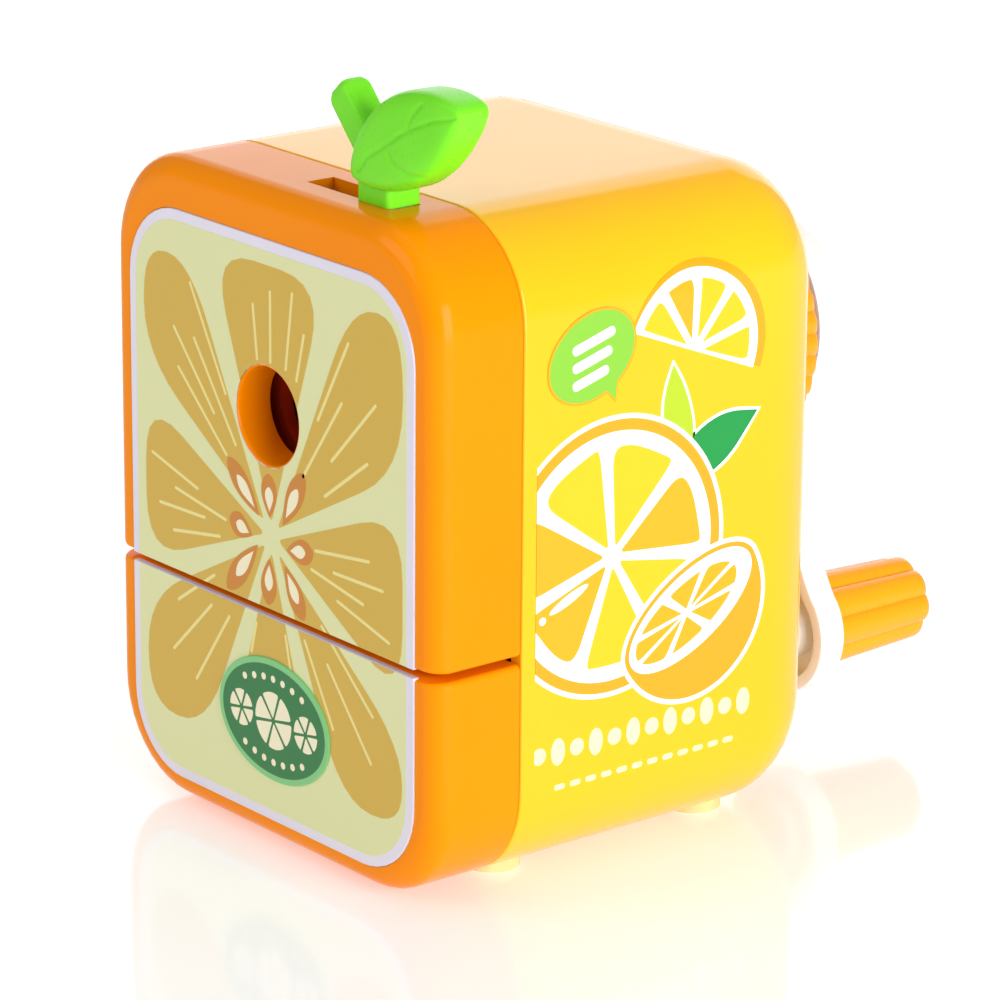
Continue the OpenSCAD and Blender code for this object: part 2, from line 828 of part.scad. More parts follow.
module drawer_bin() {
    t = 1.5;
    fit = wall + 0.35; // the bin slides, so it has more room than a fixed part
    color(white) difference() {
        intersection() {
            body_form(fit, wall, bin_end_d);
            block([-body_w, body_w], [wall, bin_end_d], [0, bin_top_z]);
        }
        intersection() {
            body_form(fit + t, wall + t, bin_end_d - t);
            block([-body_w, body_w], [wall + t, bin_end_d - t], [0, bin_top_z + 1]);
        }
        block([-body_w, body_w], [wall + t, bin_end_d - t], [bin_top_z, body_h]);
    }
}

module drawer_front() {
    color(orange) difference() {
        intersection() {
            body_form(0, 0, cover_end_d);
            block([-body_w, body_w], [0, body_d], [0, drawer_z1]);
        }
        intersection() {
            body_form(wall, wall, cover_end_d + 1);
            block([-body_w, body_w], [0, body_d], [0, drawer_z1 - wall]);
        }
        intersection() {
            slab(-1, panel_sink) panel_outline(0);
            block([-body_w, body_w], [-2, 2], [0, drawer_z1 + 1]);
        }
    }
}

module lower_face_panel() {
    color(cream) intersection() {
        slab(panel_sink - panel_t, panel_sink) panel_outline(panel_fit);
        block([-body_w, body_w], [-2, 2], [0, drawer_z1]);
    }
}

module drawer_badge() {
    half = [11, 7.7];
    centre = [1.2, 16.7];
    points = [for (a = [0:6:354]) centre + [half[0] * cos(a), half[1] * sin(a)]];
    color(badge_green) slab(panel_sink - panel_t - badge_t, panel_sink - panel_t) polygon(points);
}

rear_housing();
inner_frame();
frame_screws();
rubber_feet();
rear_bush();
ring_gear();
feed_spring_left();
feed_spring_right();
front_cover();
upper_face_panel();
carriage_plate();
guide_rod_left();
guide_rod_right();
rod_collars();
clamp_spring();
leaf_cap();
lever_plate();
clamp_ring();
clamp_jaw_1();
clamp_jaw_2();
clamp_jaw_3();
cutter_carrier();
drive_shaft();
cutter_pin();
crank_arm();
crank_screw();
handle_pin();
helical_cutter();
cutter_pinion();
point_stop();
adjuster_nut();
adjuster_knob();
handle_grip();
handle_cap();
drawer_bin();
drawer_front();
lower_face_panel();
drawer_badge();
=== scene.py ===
"""Visual model of a hand-crank desk pencil sharpener, dressed over its CAD frame."""

import logging
import math
from dataclasses import dataclass
from enum import Enum

import bmesh
import bpy
from mathutils import Matrix, Vector


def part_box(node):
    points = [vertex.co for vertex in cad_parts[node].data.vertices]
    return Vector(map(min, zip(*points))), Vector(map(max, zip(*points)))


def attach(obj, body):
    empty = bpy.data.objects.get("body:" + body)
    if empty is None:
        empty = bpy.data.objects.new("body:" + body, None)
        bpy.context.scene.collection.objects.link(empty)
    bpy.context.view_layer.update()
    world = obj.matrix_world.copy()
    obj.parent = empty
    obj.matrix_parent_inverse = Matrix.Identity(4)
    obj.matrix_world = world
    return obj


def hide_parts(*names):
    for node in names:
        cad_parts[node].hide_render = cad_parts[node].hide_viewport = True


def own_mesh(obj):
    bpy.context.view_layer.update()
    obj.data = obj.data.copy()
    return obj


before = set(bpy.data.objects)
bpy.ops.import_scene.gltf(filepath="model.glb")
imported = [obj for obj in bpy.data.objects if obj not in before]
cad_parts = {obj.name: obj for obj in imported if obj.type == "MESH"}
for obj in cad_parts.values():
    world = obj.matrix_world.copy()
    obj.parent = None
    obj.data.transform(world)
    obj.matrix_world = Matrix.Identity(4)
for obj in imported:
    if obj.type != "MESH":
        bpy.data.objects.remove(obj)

logging.basicConfig(level=logging.INFO, format="%(name)s: %(message)s")
LOG = logging.getLogger("sharpener")

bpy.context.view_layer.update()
FRONT_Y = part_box("front_cover")[0].y

Point = tuple[float, float]
Spot = tuple[float, float, float]


class Face(Enum):
    """The wall that a flat outline is drawn on."""

    FRONT = "front"
    RIGHT = "right"
    LEFT = "left"


class Surface(Enum):
    """How a finish was made, which sets its pattern."""

    MOULDED = "moulded"
    PRINTED = "printed"
    TURNED = "turned"
    MILLED = "milled"
    DRAWN = "drawn"


# ---- places and outlines, in millimetres ----


def place(x: float, d: float, z: float) -> Vector:
    """Turns a spot across, back from the front face and up from mm into metres."""
    return Vector((x / 1000, FRONT_Y + d / 1000, z / 1000))


def arc(centre: Point, radius: float, start: float, end: float, steps: int) -> list[Point]:
    """Draws an arc between two angles in degrees, both ends included."""
    angles = [math.radians(start + (end - start) * i / steps) for i in range(steps + 1)]
    return [(centre[0] + radius * math.cos(a), centre[1] + radius * math.sin(a)) for a in angles]


def circle(centre: Point, radius: float, steps: int = 64) -> list[Point]:
    """Draws a whole circle, without a repeat of its first point."""
    return arc(centre, radius, 0, 360 - 360 / steps, steps - 1)


def quarter(steps: int) -> list[Point]:
    """Gives how far a quarter turn has come in and along at each step, as shares of its radius."""
    angles = [math.radians(90 / steps * k) for k in range(steps + 1)]
    return [(1 - math.cos(a), math.sin(a)) for a in angles]


def turned(points: list[Point], angle: float, centre: Point) -> list[Point]:
    """Turns points by an angle in radians and moves them to a centre."""
    c, s = math.cos(angle), math.sin(angle)
    return [(centre[0] + u * c - v * s, centre[1] + u * s + v * c) for u, v in points]


def bore(outline: list[Point], height: float, radius: float) -> list[Point]:
    """Draws the round hole at a height that matches the outline round it point for point."""
    angles = [math.atan2(z - height, x) for x, z in outline]
    return [(radius * math.cos(a), height + radius * math.sin(a)) for a in angles]


def ellipse(centre: Point, half: Point, tilt: float = 0, start: float = 0, end: float = 360,
            steps: int = 72) -> list[Point]:
    """Draws an ellipse, or the part of it between two angles.

    Args:
        centre: Its centre.
        half: Its half axes.
        tilt: Turn of the first axis in degrees.
        start: First angle in degrees.
        end: Last angle in degrees.
        steps: Number of chords.

    Returns:
        The points, without a repeat of the first when it is whole.
    """
    count = steps if end - start >= 360 else steps + 1
    angles = [math.radians(start + (end - start) * i / steps) for i in range(count)]
    flat = [(half[0] * math.cos(a), half[1] * math.sin(a)) for a in angles]
    return turned(flat, math.radians(tilt), centre)


def rounded_rect(x0: float, x1: float, z0: float, z1: float, radii: Spot | tuple[float, ...],
                 steps: int = 10, side: int = 6) -> list[Point]:
    """Draws a rectangle with its own radius at each corner and always the same number of points.

    Args:
        x0: Left edge.
        x1: Right edge.
        z0: Lower edge.
        z1: Upper edge.
        radii: Radii at bottom left, bottom right, top right and top left.
        steps: Chords in each corner.
        side: Chords in each side.

    Returns:
        The points, anticlockwise.
    """
    bl, br, tr, tl = (max(r, 0.01) for r in radii)
    corners = [
        arc((x0 + bl, z0 + bl), bl, 180, 270, steps),
        arc((x1 - br, z0 + br), br, 270, 360, steps),
        arc((x1 - tr, z1 - tr), tr, 0, 90, steps),
        arc((x0 + tl, z1 - tl), tl, 90, 180, steps),
    ]
    points = []
    for i, corner in enumerate(corners):
        points.extend(corner)
        a, b = corner[-1], corners[(i + 1) % 4][0]
        for k in range(1, side):
            points.append((a[0] + (b[0] - a[0]) * k / side, a[1] + (b[1] - a[1]) * k / side))
    return points


def soften(points: list[Point], radii: list[float]) -> list[Point]:
    """Rounds the corners of an outline.

    Args:
        points: The sharp outline.
        radii: How far from each corner its curve starts.

    Returns:
        The rounded outline.
    """
    chords, most_of_side = 6, 0.48
    result = []
    for i, corner in enumerate(points):
        here = Vector(corner)
        ways = [Vector(points[j]) - here for j in (i - 1, (i + 1) % len(points))]
        a, b = (here + way.normalized() * min(radii[i], way.length * most_of_side) for way in ways)
        for k in range(chords + 1):
            t = k / chords
            spot = a * (1 - t) ** 2 + here * 2 * t * (1 - t) + b * t * t
            result.append((spot.x, spot.y))
    return result


def clip(points: list[Point], through: Point, normal: Point) -> list[Point]:
    """Keeps the part of a convex outline on one side of a line.

    Args:
        points: The outline.
        through: A point on the line.
        normal: Direction that points to the kept side.

    Returns:
        The outline that is left, which may be empty.
    """
    def height(p: Point) -> float:
        """Gives a point's distance past the line."""
        return (p[0] - through[0]) * normal[0] + (p[1] - through[1]) * normal[1]

    result = []
    for i, p in enumerate(points):
        q = points[(i + 1) % len(points)]
        hp, hq = height(p), height(q)
        if hp >= 0:
            result.append(p)
        if hp * hq < 0:
            t = hp / (hp - hq)
            result.append((p[0] + (q[0] - p[0]) * t, p[1] + (q[1] - p[1]) * t))
    return result


def lens(a: Point, b: Point, bulge: float, power: float, skew: float = 1.0) -> list[Point]:
    """Draws a leaf-shaped outline between two tips.

    Args:
        a: First tip.
        b: Second tip.
        bulge: How far each side bulges.
        power: Bluntness of the tips; less is blunter.
        skew: Over 1 puts the widest place nearer b.

    Returns:
        The outline.
    """
    start, way, chords = Vector(a), Vector(b) - Vector(a), 20
    across = Vector((-way.y, way.x)).normalized()

    def side(t: float, reach: float) -> Point:
        """Gives the outline's point at a share of the way along one side."""
        spot = start + way * t + across * reach * math.sin(math.pi * t ** skew) ** power
        return (spot.x, spot.y)

    there = [side(i / chords, -bulge) for i in range(chords)]
    return there + [side(1 - i / chords, bulge) for i in range(chords)]


def stroke(a: Point, b: Point, width: float) -> list[Point]:
    """Draws the outline of a straight line with round ends."""
    angle = math.degrees(math.atan2(b[1] - a[1], b[0] - a[0]))
    return arc(b, width / 2, angle - 90, angle + 90, 6) + arc(a, width / 2, angle + 90, angle + 270, 6)


def wedge(field_box: list[Point], hub: Point, start: float, end: float, gap: float, spread: float,
          outer_r: float, apex_r: float) -> list[Point]:
    """Draws a citrus segment: the part of a field between two spokes.

    Args:
        field_box: The field's sharp convex outline.
        hub: Where the spokes meet.
        start: Angle of the first spoke in degrees.
        end: Angle of the second spoke in degrees.
        gap: Half width of a spoke at the hub.
        spread: Angle in degrees by which each spoke widens.
        outer_r: Rounding of the outer corners.
        apex_r: Rounding of the corner at the hub.

    Returns:
        The rounded outline.
    """
    a, b = math.radians(start + spread), math.radians(end - spread)
    first, second = (-math.sin(a), math.cos(a)), (math.sin(b), -math.cos(b))
    points = clip(field_box, (hub[0] + first[0] * gap, hub[1] + first[1] * gap), first)
    points = clip(points, (hub[0] + second[0] * gap, hub[1] + second[1] * gap), second)
    radii = [apex_r if math.dist(p, hub) < gap * 8 else outer_r for p in points]
    return soften(points, radii)


# ---- meshes ----


class Draft:
    """A mesh being drawn in millimetres."""

    def __init__(self) -> None:
        """Starts an empty mesh."""
        self.mesh = bmesh.new()

    def loft(self, rings: list[list[Spot]], closed: bool = False) -> None:
        """Skins a row of rings of spots.

        Args:
            rings: Rings with the same number of (x, depth, z) spots.
            closed: True joins the last ring to the first; otherwise both ends are filled.
        """
        loops = [[self.mesh.verts.new(place(*spot)) for spot in ring] for ring in rings]
        pairs = list(zip(loops, loops[1:] + loops[:1])) if closed else list(zip(loops, loops[1:]))
        for one, other in pairs:
            for i in range(len(one)):
                j = (i + 1) % len(one)
                self.mesh.faces.new((one[i], one[j], other[j], other[i]))
        if not closed:
            self.mesh.faces.new(list(reversed(loops[0])))
            self.mesh.faces.new(loops[-1])

    def stack(self, layers: list[tuple[list[Point], float]], closed: bool = False) -> None:
        """Skins outlines in X and Z, each at its own depth."""
        self.loft([[(x, d, z) for x, z in outline] for outline, d in layers], closed)

    def lathe(self, profile: list[Point], x: float, z: float, steps: int) -> None:
        """Turns a closed profile of radii and depths about an axis along the depth."""
        self.stack([(circle((x, z), r, steps), d) for r, d in profile], closed=True)

    def slab(self, outline: list[Point], face: Face, low: float, high: float) -> None:
        """Makes a flat outline solid on a wall.

        Args:
            outline: Points across and up on the front, or in depth and up on a side.
            face: The wall it lies on.
            low: First level: a depth on the front, or a distance from the middle on a side.
            high: Second level.
        """
        if len(outline) < 3:
            return
        if face is Face.FRONT:
            self.stack([(outline, low), (outline, high)])
            return
        sign = 1 if face is Face.RIGHT else -1
        self.loft([[(sign * level, u, v) for u, v in outline] for level in (low, high)])

    def build(self, name: str) -> bpy.types.Object:
        """Turns the draft into an object.

        Args:
            name: The object's name.

        Returns:
            The linked object.
        """
        bmesh.ops.remove_doubles(self.mesh, verts=self.mesh.verts, dist=2e-7)
        bmesh.ops.recalc_face_normals(self.mesh, faces=self.mesh.faces)
        data = bpy.data.meshes.new(name)
        self.mesh.to_mesh(data)
        self.mesh.free()
        piece = bpy.data.objects.new(name, data)
        bpy.context.scene.collection.objects.link(piece)
        return piece


def stacked(name: str, layers: list[tuple[list[Point], float]],
            closed: bool = False) -> bpy.types.Object:
    """Makes an object that skins outlines in X and Z, each at its own depth.

    Args:
        name: The object's name.
        layers: Pairs of an outline and its depth.
        closed: True joins the last to the first.

    Returns:
        The object.
    """
    draft = Draft()
    draft.stack(layers, closed)
    return draft.build(name)


def lofted(name: str, rings: list[list[Spot]]) -> bpy.types.Object:
    """Makes an object that skins rings of spots and fills both ends."""
    draft = Draft()
    draft.loft(rings)
    return draft.build(name)


def combine(piece: bpy.types.Object, tool: bpy.types.Object, operation: str) -> None:
    """Cuts or joins one object with another and removes the second.

    Args:
        piece: The object that stays.
        tool: The object that is used up.
        operation: DIFFERENCE or UNION.
    """
    step = piece.modifiers.new("combine", "BOOLEAN")
    step.operation = operation
    step.solver = "EXACT"
    step.object = tool
    bpy.context.view_layer.update()
    evaluated = piece.evaluated_get(bpy.context.evaluated_depsgraph_get())
    data = bpy.data.meshes.new_from_object(evaluated)
    piece.modifiers.clear()
    old, piece.data = piece.data, data
    data.name = piece.name
    bpy.data.meshes.remove(old)
    bpy.data.objects.remove(tool)


# ---- finishes ----

CLOUD_EDGES = (0.35, 0.65)
WEAR = (0.85, 1.2)
BODY_RADIUS = (1.0, 0.6, 0.3)
STRETCH: dict[Surface, Spot] = {
    Surface.MOULDED: (1, 1, 1), Surface.PRINTED: (1, 1, 1), Surface.TURNED: (1, 8, 1),
    Surface.MILLED: (6, 1, 1), Surface.DRAWN: (1, 0.15, 1),
}


def linear(colour: str) -> tuple[float, float, float, float]:
    """Turns an sRGB hex colour into a linear one with an alpha of 1."""
    parts = [int(colour[i:i + 2], 16) / 255 for i in (1, 3, 5)]
    red, green, blue = (c / 12.92 if c <= 0.04045 else ((c + 0.055) / 1.055) ** 2.4 for c in parts)
    return (red, green, blue, 1.0)


def add_node(tree: bpy.types.NodeTree, kind: str, inputs: dict | None = None,
             **settings: object) -> bpy.types.Node:
    """Adds a node with its settings, values and links.

    Args:
        tree: The material's tree.
        kind: The node's type.
        inputs: Values, or sockets to link, by input name.
        settings: Attributes of the node.

    Returns:
        The node.
    """
    node = tree.nodes.new(kind)
    for key, value in settings.items():
        setattr(node, key, value)
    for name, value in (inputs or {}).items():
        if isinstance(value, bpy.types.NodeSocket):
            tree.links.new(value, node.inputs[name])
        else:
            node.inputs[name].default_value = value
    return node


@dataclass(frozen=True)
class Finish:
    """A material: what it is, its colours, and the size of what its making left on it.

    Attributes:
        name: The material's name.
        colour: Main colour in sRGB hex.
        shade: Second colour of its slow variation.
        surface: How it was made.
        roughness: Roughness of the polished parts.
        ior: Index of refraction.
        metallic: 1 for a bare metal.
        grain_mm: Size of its finest mark.
        relief_mm: Height of that mark.
        cloud_mm: Size of its colour variation.
        glow: Share of light that passes into the body of the plastic.
        specular: Strength of its reflection, 0.5 being what its IOR gives.
        lit: Strength of light from within, for a lit panel.
    """

    name: str
    colour: str
    shade: str
    surface: Surface = Surface.MOULDED
    roughness: float = 0.2
    ior: float = 1.5
    metallic: float = 0.0
    grain_mm: float = 0.5
    relief_mm: float = 0.004
    cloud_mm: float = 18.0
    glow: float = 0.0
    specular: float = 0.5
    lit: float = 0.0

    def material(self) -> bpy.types.Material:
        """Makes the material once.

        Returns:
            The material with its node tree.
        """
        found = bpy.data.materials.get(self.name)
        if found:
            return found
        material = bpy.data.materials.new(self.name)
        material.use_nodes = True
        tree = material.node_tree
        tree.nodes.clear()
        spot = add_node(tree, "ShaderNodeTexCoord").outputs["Object"]
        cloud = add_node(tree, "ShaderNodeTexNoise", {
            "Vector": spot, "Scale": 1000 / self.cloud_mm, "Detail": 2.0, "Roughness": 0.5,
        })
        ramp = add_node(tree, "ShaderNodeValToRGB", {"Fac": cloud.outputs["Fac"]})
        for element, at, colour in zip(ramp.color_ramp.elements, CLOUD_EDGES,
                                       (self.shade, self.colour)):
            element.position, element.color = at, linear(colour)
        mapped = add_node(tree, "ShaderNodeMapping",
                          {"Vector": spot, "Scale": STRETCH[self.surface]})
        grain = add_node(tree, "ShaderNodeTexNoise", {
            "Vector": mapped.outputs["Vector"], "Scale": 1000 / self.grain_mm, "Detail": 3.0,
            "Roughness": 0.6,
        })
        wear = add_node(tree, "ShaderNodeMapRange", {
            "Value": grain.outputs["Fac"], "From Min": 0.3, "From Max": 0.7,
            "To Min": self.roughness * WEAR[0], "To Max": self.roughness * WEAR[1],
        })
        bump = add_node(tree, "ShaderNodeBump", {
            "Height": grain.outputs["Fac"], "Strength": 0.6, "Distance": self.relief_mm / 1000,
        })
        shader = add_node(tree, "ShaderNodeBsdfPrincipled", {
            "Base Color": ramp.outputs["Color"], "Roughness": wear.outputs["Result"],
            "Metallic": self.metallic, "IOR": self.ior, "Normal": bump.outputs["Normal"],
            "Subsurface Weight": self.glow, "Subsurface Radius": BODY_RADIUS,
            "Subsurface Scale": 0.001, "Specular IOR Level": self.specular,
            "Emission Color": linear("#FFFFFF"), "Emission Strength": self.lit,
        })
        add_node(tree, "ShaderNodeOutputMaterial", {"Surface": shader.outputs["BSDF"]})
        return material


def metal(name: str, colour: str, shade: str, surface: Surface, roughness: float,
          grain_mm: float) -> Finish:
    """Gives a bare metal's finish; a metal keeps the default IOR."""
    return Finish(name, colour, shade, surface, roughness=roughness, metallic=1.0,
                  grain_mm=grain_mm, relief_mm=0.003, cloud_mm=6)


# Gloss ABS, injection moulded in a polished steel mould: saturated colour under a mirror-like skin.
YELLOW_ABS = Finish("yellow_gloss_abs_moulded", "#FFBC14", "#FEB912", roughness=0.13, relief_mm=0.002,
                    grain_mm=2.2, cloud_mm=26, specular=0.36)
ORANGE_ABS = Finish("orange_gloss_abs_moulded", "#FC8F01", "#FA8D01", roughness=0.13,
                    relief_mm=0.002, grain_mm=2.2, cloud_mm=26, specular=0.09)
HANDLE_ABS = Finish("amber_abs_handle_moulded", "#FFA503", "#FFA202", roughness=0.24,
                    relief_mm=0.003, grain_mm=0.8, specular=0.4)
KNOB_ABS = Finish("amber_abs_knob_moulded", "#FFA008", "#FD9C06", roughness=0.25, relief_mm=0.003,
                  grain_mm=0.8, specular=0.4)
# Soft-gloss polypropylene: it lets light in, so its edges look lit from inside.
LEAF_PP = Finish("lime_polypropylene_moulded", "#7EEC26", "#76E420", roughness=0.3, ior=1.49,
                 relief_mm=0.003, grain_mm=0.9, cloud_mm=12, glow=0.35, specular=0.25)
# White polystyrene for the arm and the drawer's bin: clean, bright and only slightly glossy.
WHITE_PS = Finish("white_polystyrene_moulded", "#F6F3EE", "#F1EDE6", roughness=0.24, ior=1.58,
                  relief_mm=0.003, grain_mm=0.9)
# Grey-white acetal for the working parts: satin, with a fine spark-eroded mould texture.
FRAME_POM = Finish("natural_acetal_moulded", "#D9D8D2", "#CFCEC8", roughness=0.42, ior=1.48,
                   relief_mm=0.012, grain_mm=0.35)
# Polycarbonate label plates: a lilac-white edge all round the printed field.
BORDER_PC = Finish("lilac_white_polycarbonate_sheet", "#E4DFEC", "#DFDAE8", roughness=0.22,
                   ior=1.585, relief_mm=0.002, grain_mm=1.4)
# Natural silicone rubber feet: pale, matt and a little dusty, so they hardly show under the body.
FOOT_RUBBER = Finish("natural_silicone_rubber_moulded", "#F0D49A", "#E8CA8C", roughness=0.6,
                     ior=1.41, relief_mm=0.02, grain_mm=0.5, cloud_mm=3)
# Orange acetal for the clamp, darkened to a deep red-orange as painted shade for the shadow inside the
# pencil hole.
SHADED_CLAMP_POM = Finish("orange_acetal_painted_shade", "#B83402", "#A82E02", roughness=0.4, ior=1.48,
                   relief_mm=0.008, grain_mm=0.35)
# Turned free-cutting steel shafts: bright, with fine rings round the axis.
TURNED_STEEL = metal("steel_turned", "#B9BEC4", "#AEB3B9", Surface.TURNED, 0.24, 0.6)
# Hardened tool steel, milled: darker, with marks across its cutting edges.
CUTTER_STEEL = metal("tool_steel_milled", "#8E9297", "#82868B", Surface.MILLED, 0.3, 0.5)
# Music wire, cold drawn: smooth along its length with faint die lines.
SPRING_WIRE = metal("music_wire_drawn", "#A9ADB2", "#9CA0A6", Surface.DRAWN, 0.26, 0.3)
# Turned brass: warm yellow metal with fine rings.
BRASS = metal("brass_turned", "#D8B25A", "#C9A24A", Surface.TURNED, 0.26, 0.6)


def ink(name: str, colour: str) -> Finish:
    """Gives a pad-printed ink: flat colour with the plastic's gloss and fine pinholes."""
    return Finish(f"{name}_ink_printed", colour, colour, Surface.PRINTED, roughness=0.22,
                  relief_mm=0.002, grain_mm=0.6, cloud_mm=9)


CREAM_INK = ink("cream_field", "#DEE0A6")
PULP_INK = ink("ochre_segment", "#D2AC3A")
POCKET_INK = ink("seed_pocket", "#CC8010")
SEED_INK = ink("pale_seed", "#F3EBC8")
RAY_INK = ink("pale_ray", "#EBDD8C")
WHITE_INK = ink("white_outline", "#FFFFFF")
RIND_INK = ink("rind", "#FCA002")
BRIGHT_PULP_INK = ink("lemon_pulp", "#FABF02")
DEEP_PULP_INK = ink("amber_pulp", "#FAA802")
LIME_INK = ink("lime_leaf", "#AEC81A")
EMERALD_INK = ink("emerald_leaf", "#038E3C")
BUBBLE_INK = ink("lime_bubble", "#82C234")
BADGE_INK = ink("emerald_badge", "#0A7430")
PALE_INK = ink("pale_cream_row", "#FFF0B4")
BADGE_RIM_INK = ink("pale_green_rim", "#7CC77C")


def fit_out(piece: bpy.types.Object, finish: Finish, body: str,
            nodes: tuple[str, ...] = (), angle: float = 35) -> None:
    """Shades a made piece and gives it its material, body and the CAD nodes it stands for.

    Args:
        piece: The piece, in place.
        finish: Its finish.
        body: The CAD body it rides on.
        nodes: CAD nodes that it replaces.
        angle: The angle in degrees past which an edge stays sharp.
    """
    piece.data.shade_smooth()
    piece.data.set_sharp_from_angle(angle=math.radians(angle))
    piece.modifiers.new("weighted", "WEIGHTED_NORMAL").keep_sharp = True
    piece.data.materials.clear()
    piece.data.materials.append(finish.material())
    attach(piece, body)
    if nodes:
        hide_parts(*nodes)
    LOG.info("%s rides on %s in %s", piece.name, body, finish.name)


# ---- shells ----


@dataclass
class Shells:
    """The orange cover and drawer front and the yellow housing, one rounded form split in three.

    Attributes:
        half_w: Half width of the form, which leaves the prints their thickness.
        low: Height of its underside.
        high: Height of its top.
        depth: Depth of its back.
        edge_r: Radius of the four long edges.
        front_r: Radius round the front face.
        back_r: Radius round the back.
        wall: Wall thickness.
        seam_d: Depth where the housing starts.
        cover_end_d: Depth where the cover and drawer end.
        split: Heights of the two edges of the split.
        axis_z: Height of the crank's axis.
        hole_r: Radius of the pencil hole.
        bush_r: Radius of the back wall's hole.
        lip: Rounding of the parting edges.
        slot: Edges of the leaf's slot across and in depth.
        seat: Edges of the clamp spring's seat across and in depth.
        pillars: Places of the screw pillars across and up.
        pillar_r: Bore and outside radius of a pillar.
        pillar_d: Depths of its two ends.
        corner_r: Radius of the corners at the split.
    """

    half_w: float = 31.88
    low: float = 0.8
    high: float = 82.0
    depth: float = 63.0
    edge_r: float = 12.6
    front_r: float = 2.7
    back_r: float = 12.0
    wall: float = 2.0
    seam_d: float = 12.7
    cover_end_d: float = 12.6
    split: Point = (29.5, 30.5)
    axis_z: float = 54.4
    hole_r: float = 5.94
    bush_r: float = 5.0
    lip: float = 0.35
    slot: tuple[Point, Point] = ((0.3, 16.9), (5.5, 9.4))
    seat: tuple[Point, Point] = ((-20.4, -18.9), (1.5, 9.6))
    pillars: tuple[Point, Point] = ((-24.5, 24.5), (39.0, 71.5))
    pillar_r: Point = (1.1, 3.1)
    pillar_d: Point = (15.8, 56.0)
    corner_r: float = 0.7

    def section(self, inset: float, trim: float, part: str) -> list[Point]:
        """Draws the form's outline at one depth.

        Args:
            inset: How far the round edges have drawn it in.
            trim: How far the split edge is drawn in.
            part: whole, cover or drawer.

        Returns:
            The outline.
        """
        r, q = max(self.edge_r - 0.45 * inset, 1.0), self.corner_r
        x, low, high = self.half_w - inset, self.low + inset, self.high - inset
        if part == "cover":
            return rounded_rect(-x, x, self.split[1] + trim, high, (q, q, r, r))
        if part == "drawer":
            return rounded_rect(-x, x, low, self.split[0] - trim, (r, r, q, q))
        return rounded_rect(-x, x, low, high, (r, r, r, r))

    def front_layers(self, part: str) -> list[tuple[list[Point], float]]:
        """Gives the outer layers of a front part, from its seam edge to its front face.

        Args:
            part: cover or drawer.

        Returns:
            Outlines and depths.
        """
        lip, front_r = self.lip, self.front_r
        layers = [(self.section(lip * (1 - s), lip * (1 - s), part), self.cover_end_d - lip * c)
                  for c, s in quarter(4)]
        layers.append((self.section(0, 0, part), 7.0))
        layers += [(self.section(front_r * c, lip * c, part), front_r * (1 - s))
                   for c, s in quarter(12)]
        return layers

    def cover(self, panel: "FacePanels") -> None:
        """Makes the upper orange front, with the pencil hole, the panel's recess and the slot.

        Args:
            panel: The face panels, for the recess.
        """
        layers = self.front_layers("cover")
        inner = self.section(self.wall, self.wall, "cover")
        hole = bore(layers[-1][0], self.axis_z, self.hole_r + 0.9)
        layers += [(hole, 0.0), (hole, self.wall), (inner, self.wall), (inner, self.cover_end_d)]
        piece = stacked("orange_front_cover", layers, closed=True)
        combine(piece, panel.recess(0), "DIFFERENCE")
        opening = rounded_rect(*self.slot[0], self.high - 4, self.high + 2, (0.1,) * 4)
        combine(piece, stacked("slot_tool", [(opening, d) for d in self.slot[1]]), "DIFFERENCE")
        rim = Draft()
        r0, r1, r2 = self.hole_r, self.hole_r + 0.3, self.hole_r + 1.6
        rim.lathe([(r0, 0.4), (r0 + 0.04, 0.1), (r0 + 0.13, -0.1), (r1 - 0.06, -0.14), (r1, -0.1),
                   (r1, 0.8), (r2, 0.8), (r2, 4.6), (r0, 4.6)], 0, self.axis_z, 96)
        block = rounded_rect(*self.seat[0], 75.5, self.high - 1.6, (0.2,) * 4)
        rim.stack([(block, d) for d in self.seat[1]])
        combine(piece, rim.build("rim_tool"), "UNION")
        fit_out(piece, ORANGE_ABS, "carriage", ("front_cover",))

    def drawer(self, panel: "FacePanels") -> None:
        """Makes the lower orange front.

        Args:
            panel: The face panels, for the recess.
        """
        inner = self.section(self.wall, self.wall, "drawer")
        layers = [(inner, self.wall), (inner, self.cover_end_d)] + self.front_layers("drawer")
        piece = stacked("orange_drawer_front", layers)
        combine(piece, panel.recess(1), "DIFFERENCE")
        fit_out(piece, ORANGE_ABS, "drawer", ("drawer_front",))

    def housing(self) -> None:
        """Makes the yellow housing with its rounded back, bush hole and screw pillars."""
        start, reach = self.depth - self.back_r, self.back_r - self.wall
        rows = [(self.lip * (1 - s), self.seam_d + self.lip * c) for c, s in quarter(4)]
        rows += [(0, 25.0), (0, 37.0)]
        rows += [(self.back_r * c, start + self.back_r * s) for c, s in quarter(18)]
        layers = [(self.section(inset, 0, "whole"), d) for inset, d in rows]
        face = layers[-1][0]
        layers += [(bore(face, self.axis_z, self.bush_r + 0.3), self.depth)]
        hole = bore(face, self.axis_z, self.bush_r)
        layers += [(hole, self.depth - 0.3), (hole, self.depth - self.wall)]
        layers += [(self.section(self.wall + reach * c, 0, "whole"), start + reach * s)
                   for c, s in reversed(quarter(9))]
        layers.append((self.section(self.wall, 0, "whole"), self.seam_d))
        draft = Draft()
        draft.stack(layers, closed=True)
        (r0, r1), (d0, d1) = self.pillar_r, self.pillar_d
        for x in self.pillars[0]:
            for z in self.pillars[1]:
                draft.lathe([(r0, d0), (r1, d0), (r1, d1), (r0, d1)], x, z, 24)
        fit_out(draft.build("yellow_rear_housing"), YELLOW_ABS, "housing",
                ("rear_housing",))


# ---- face panels and their prints ----


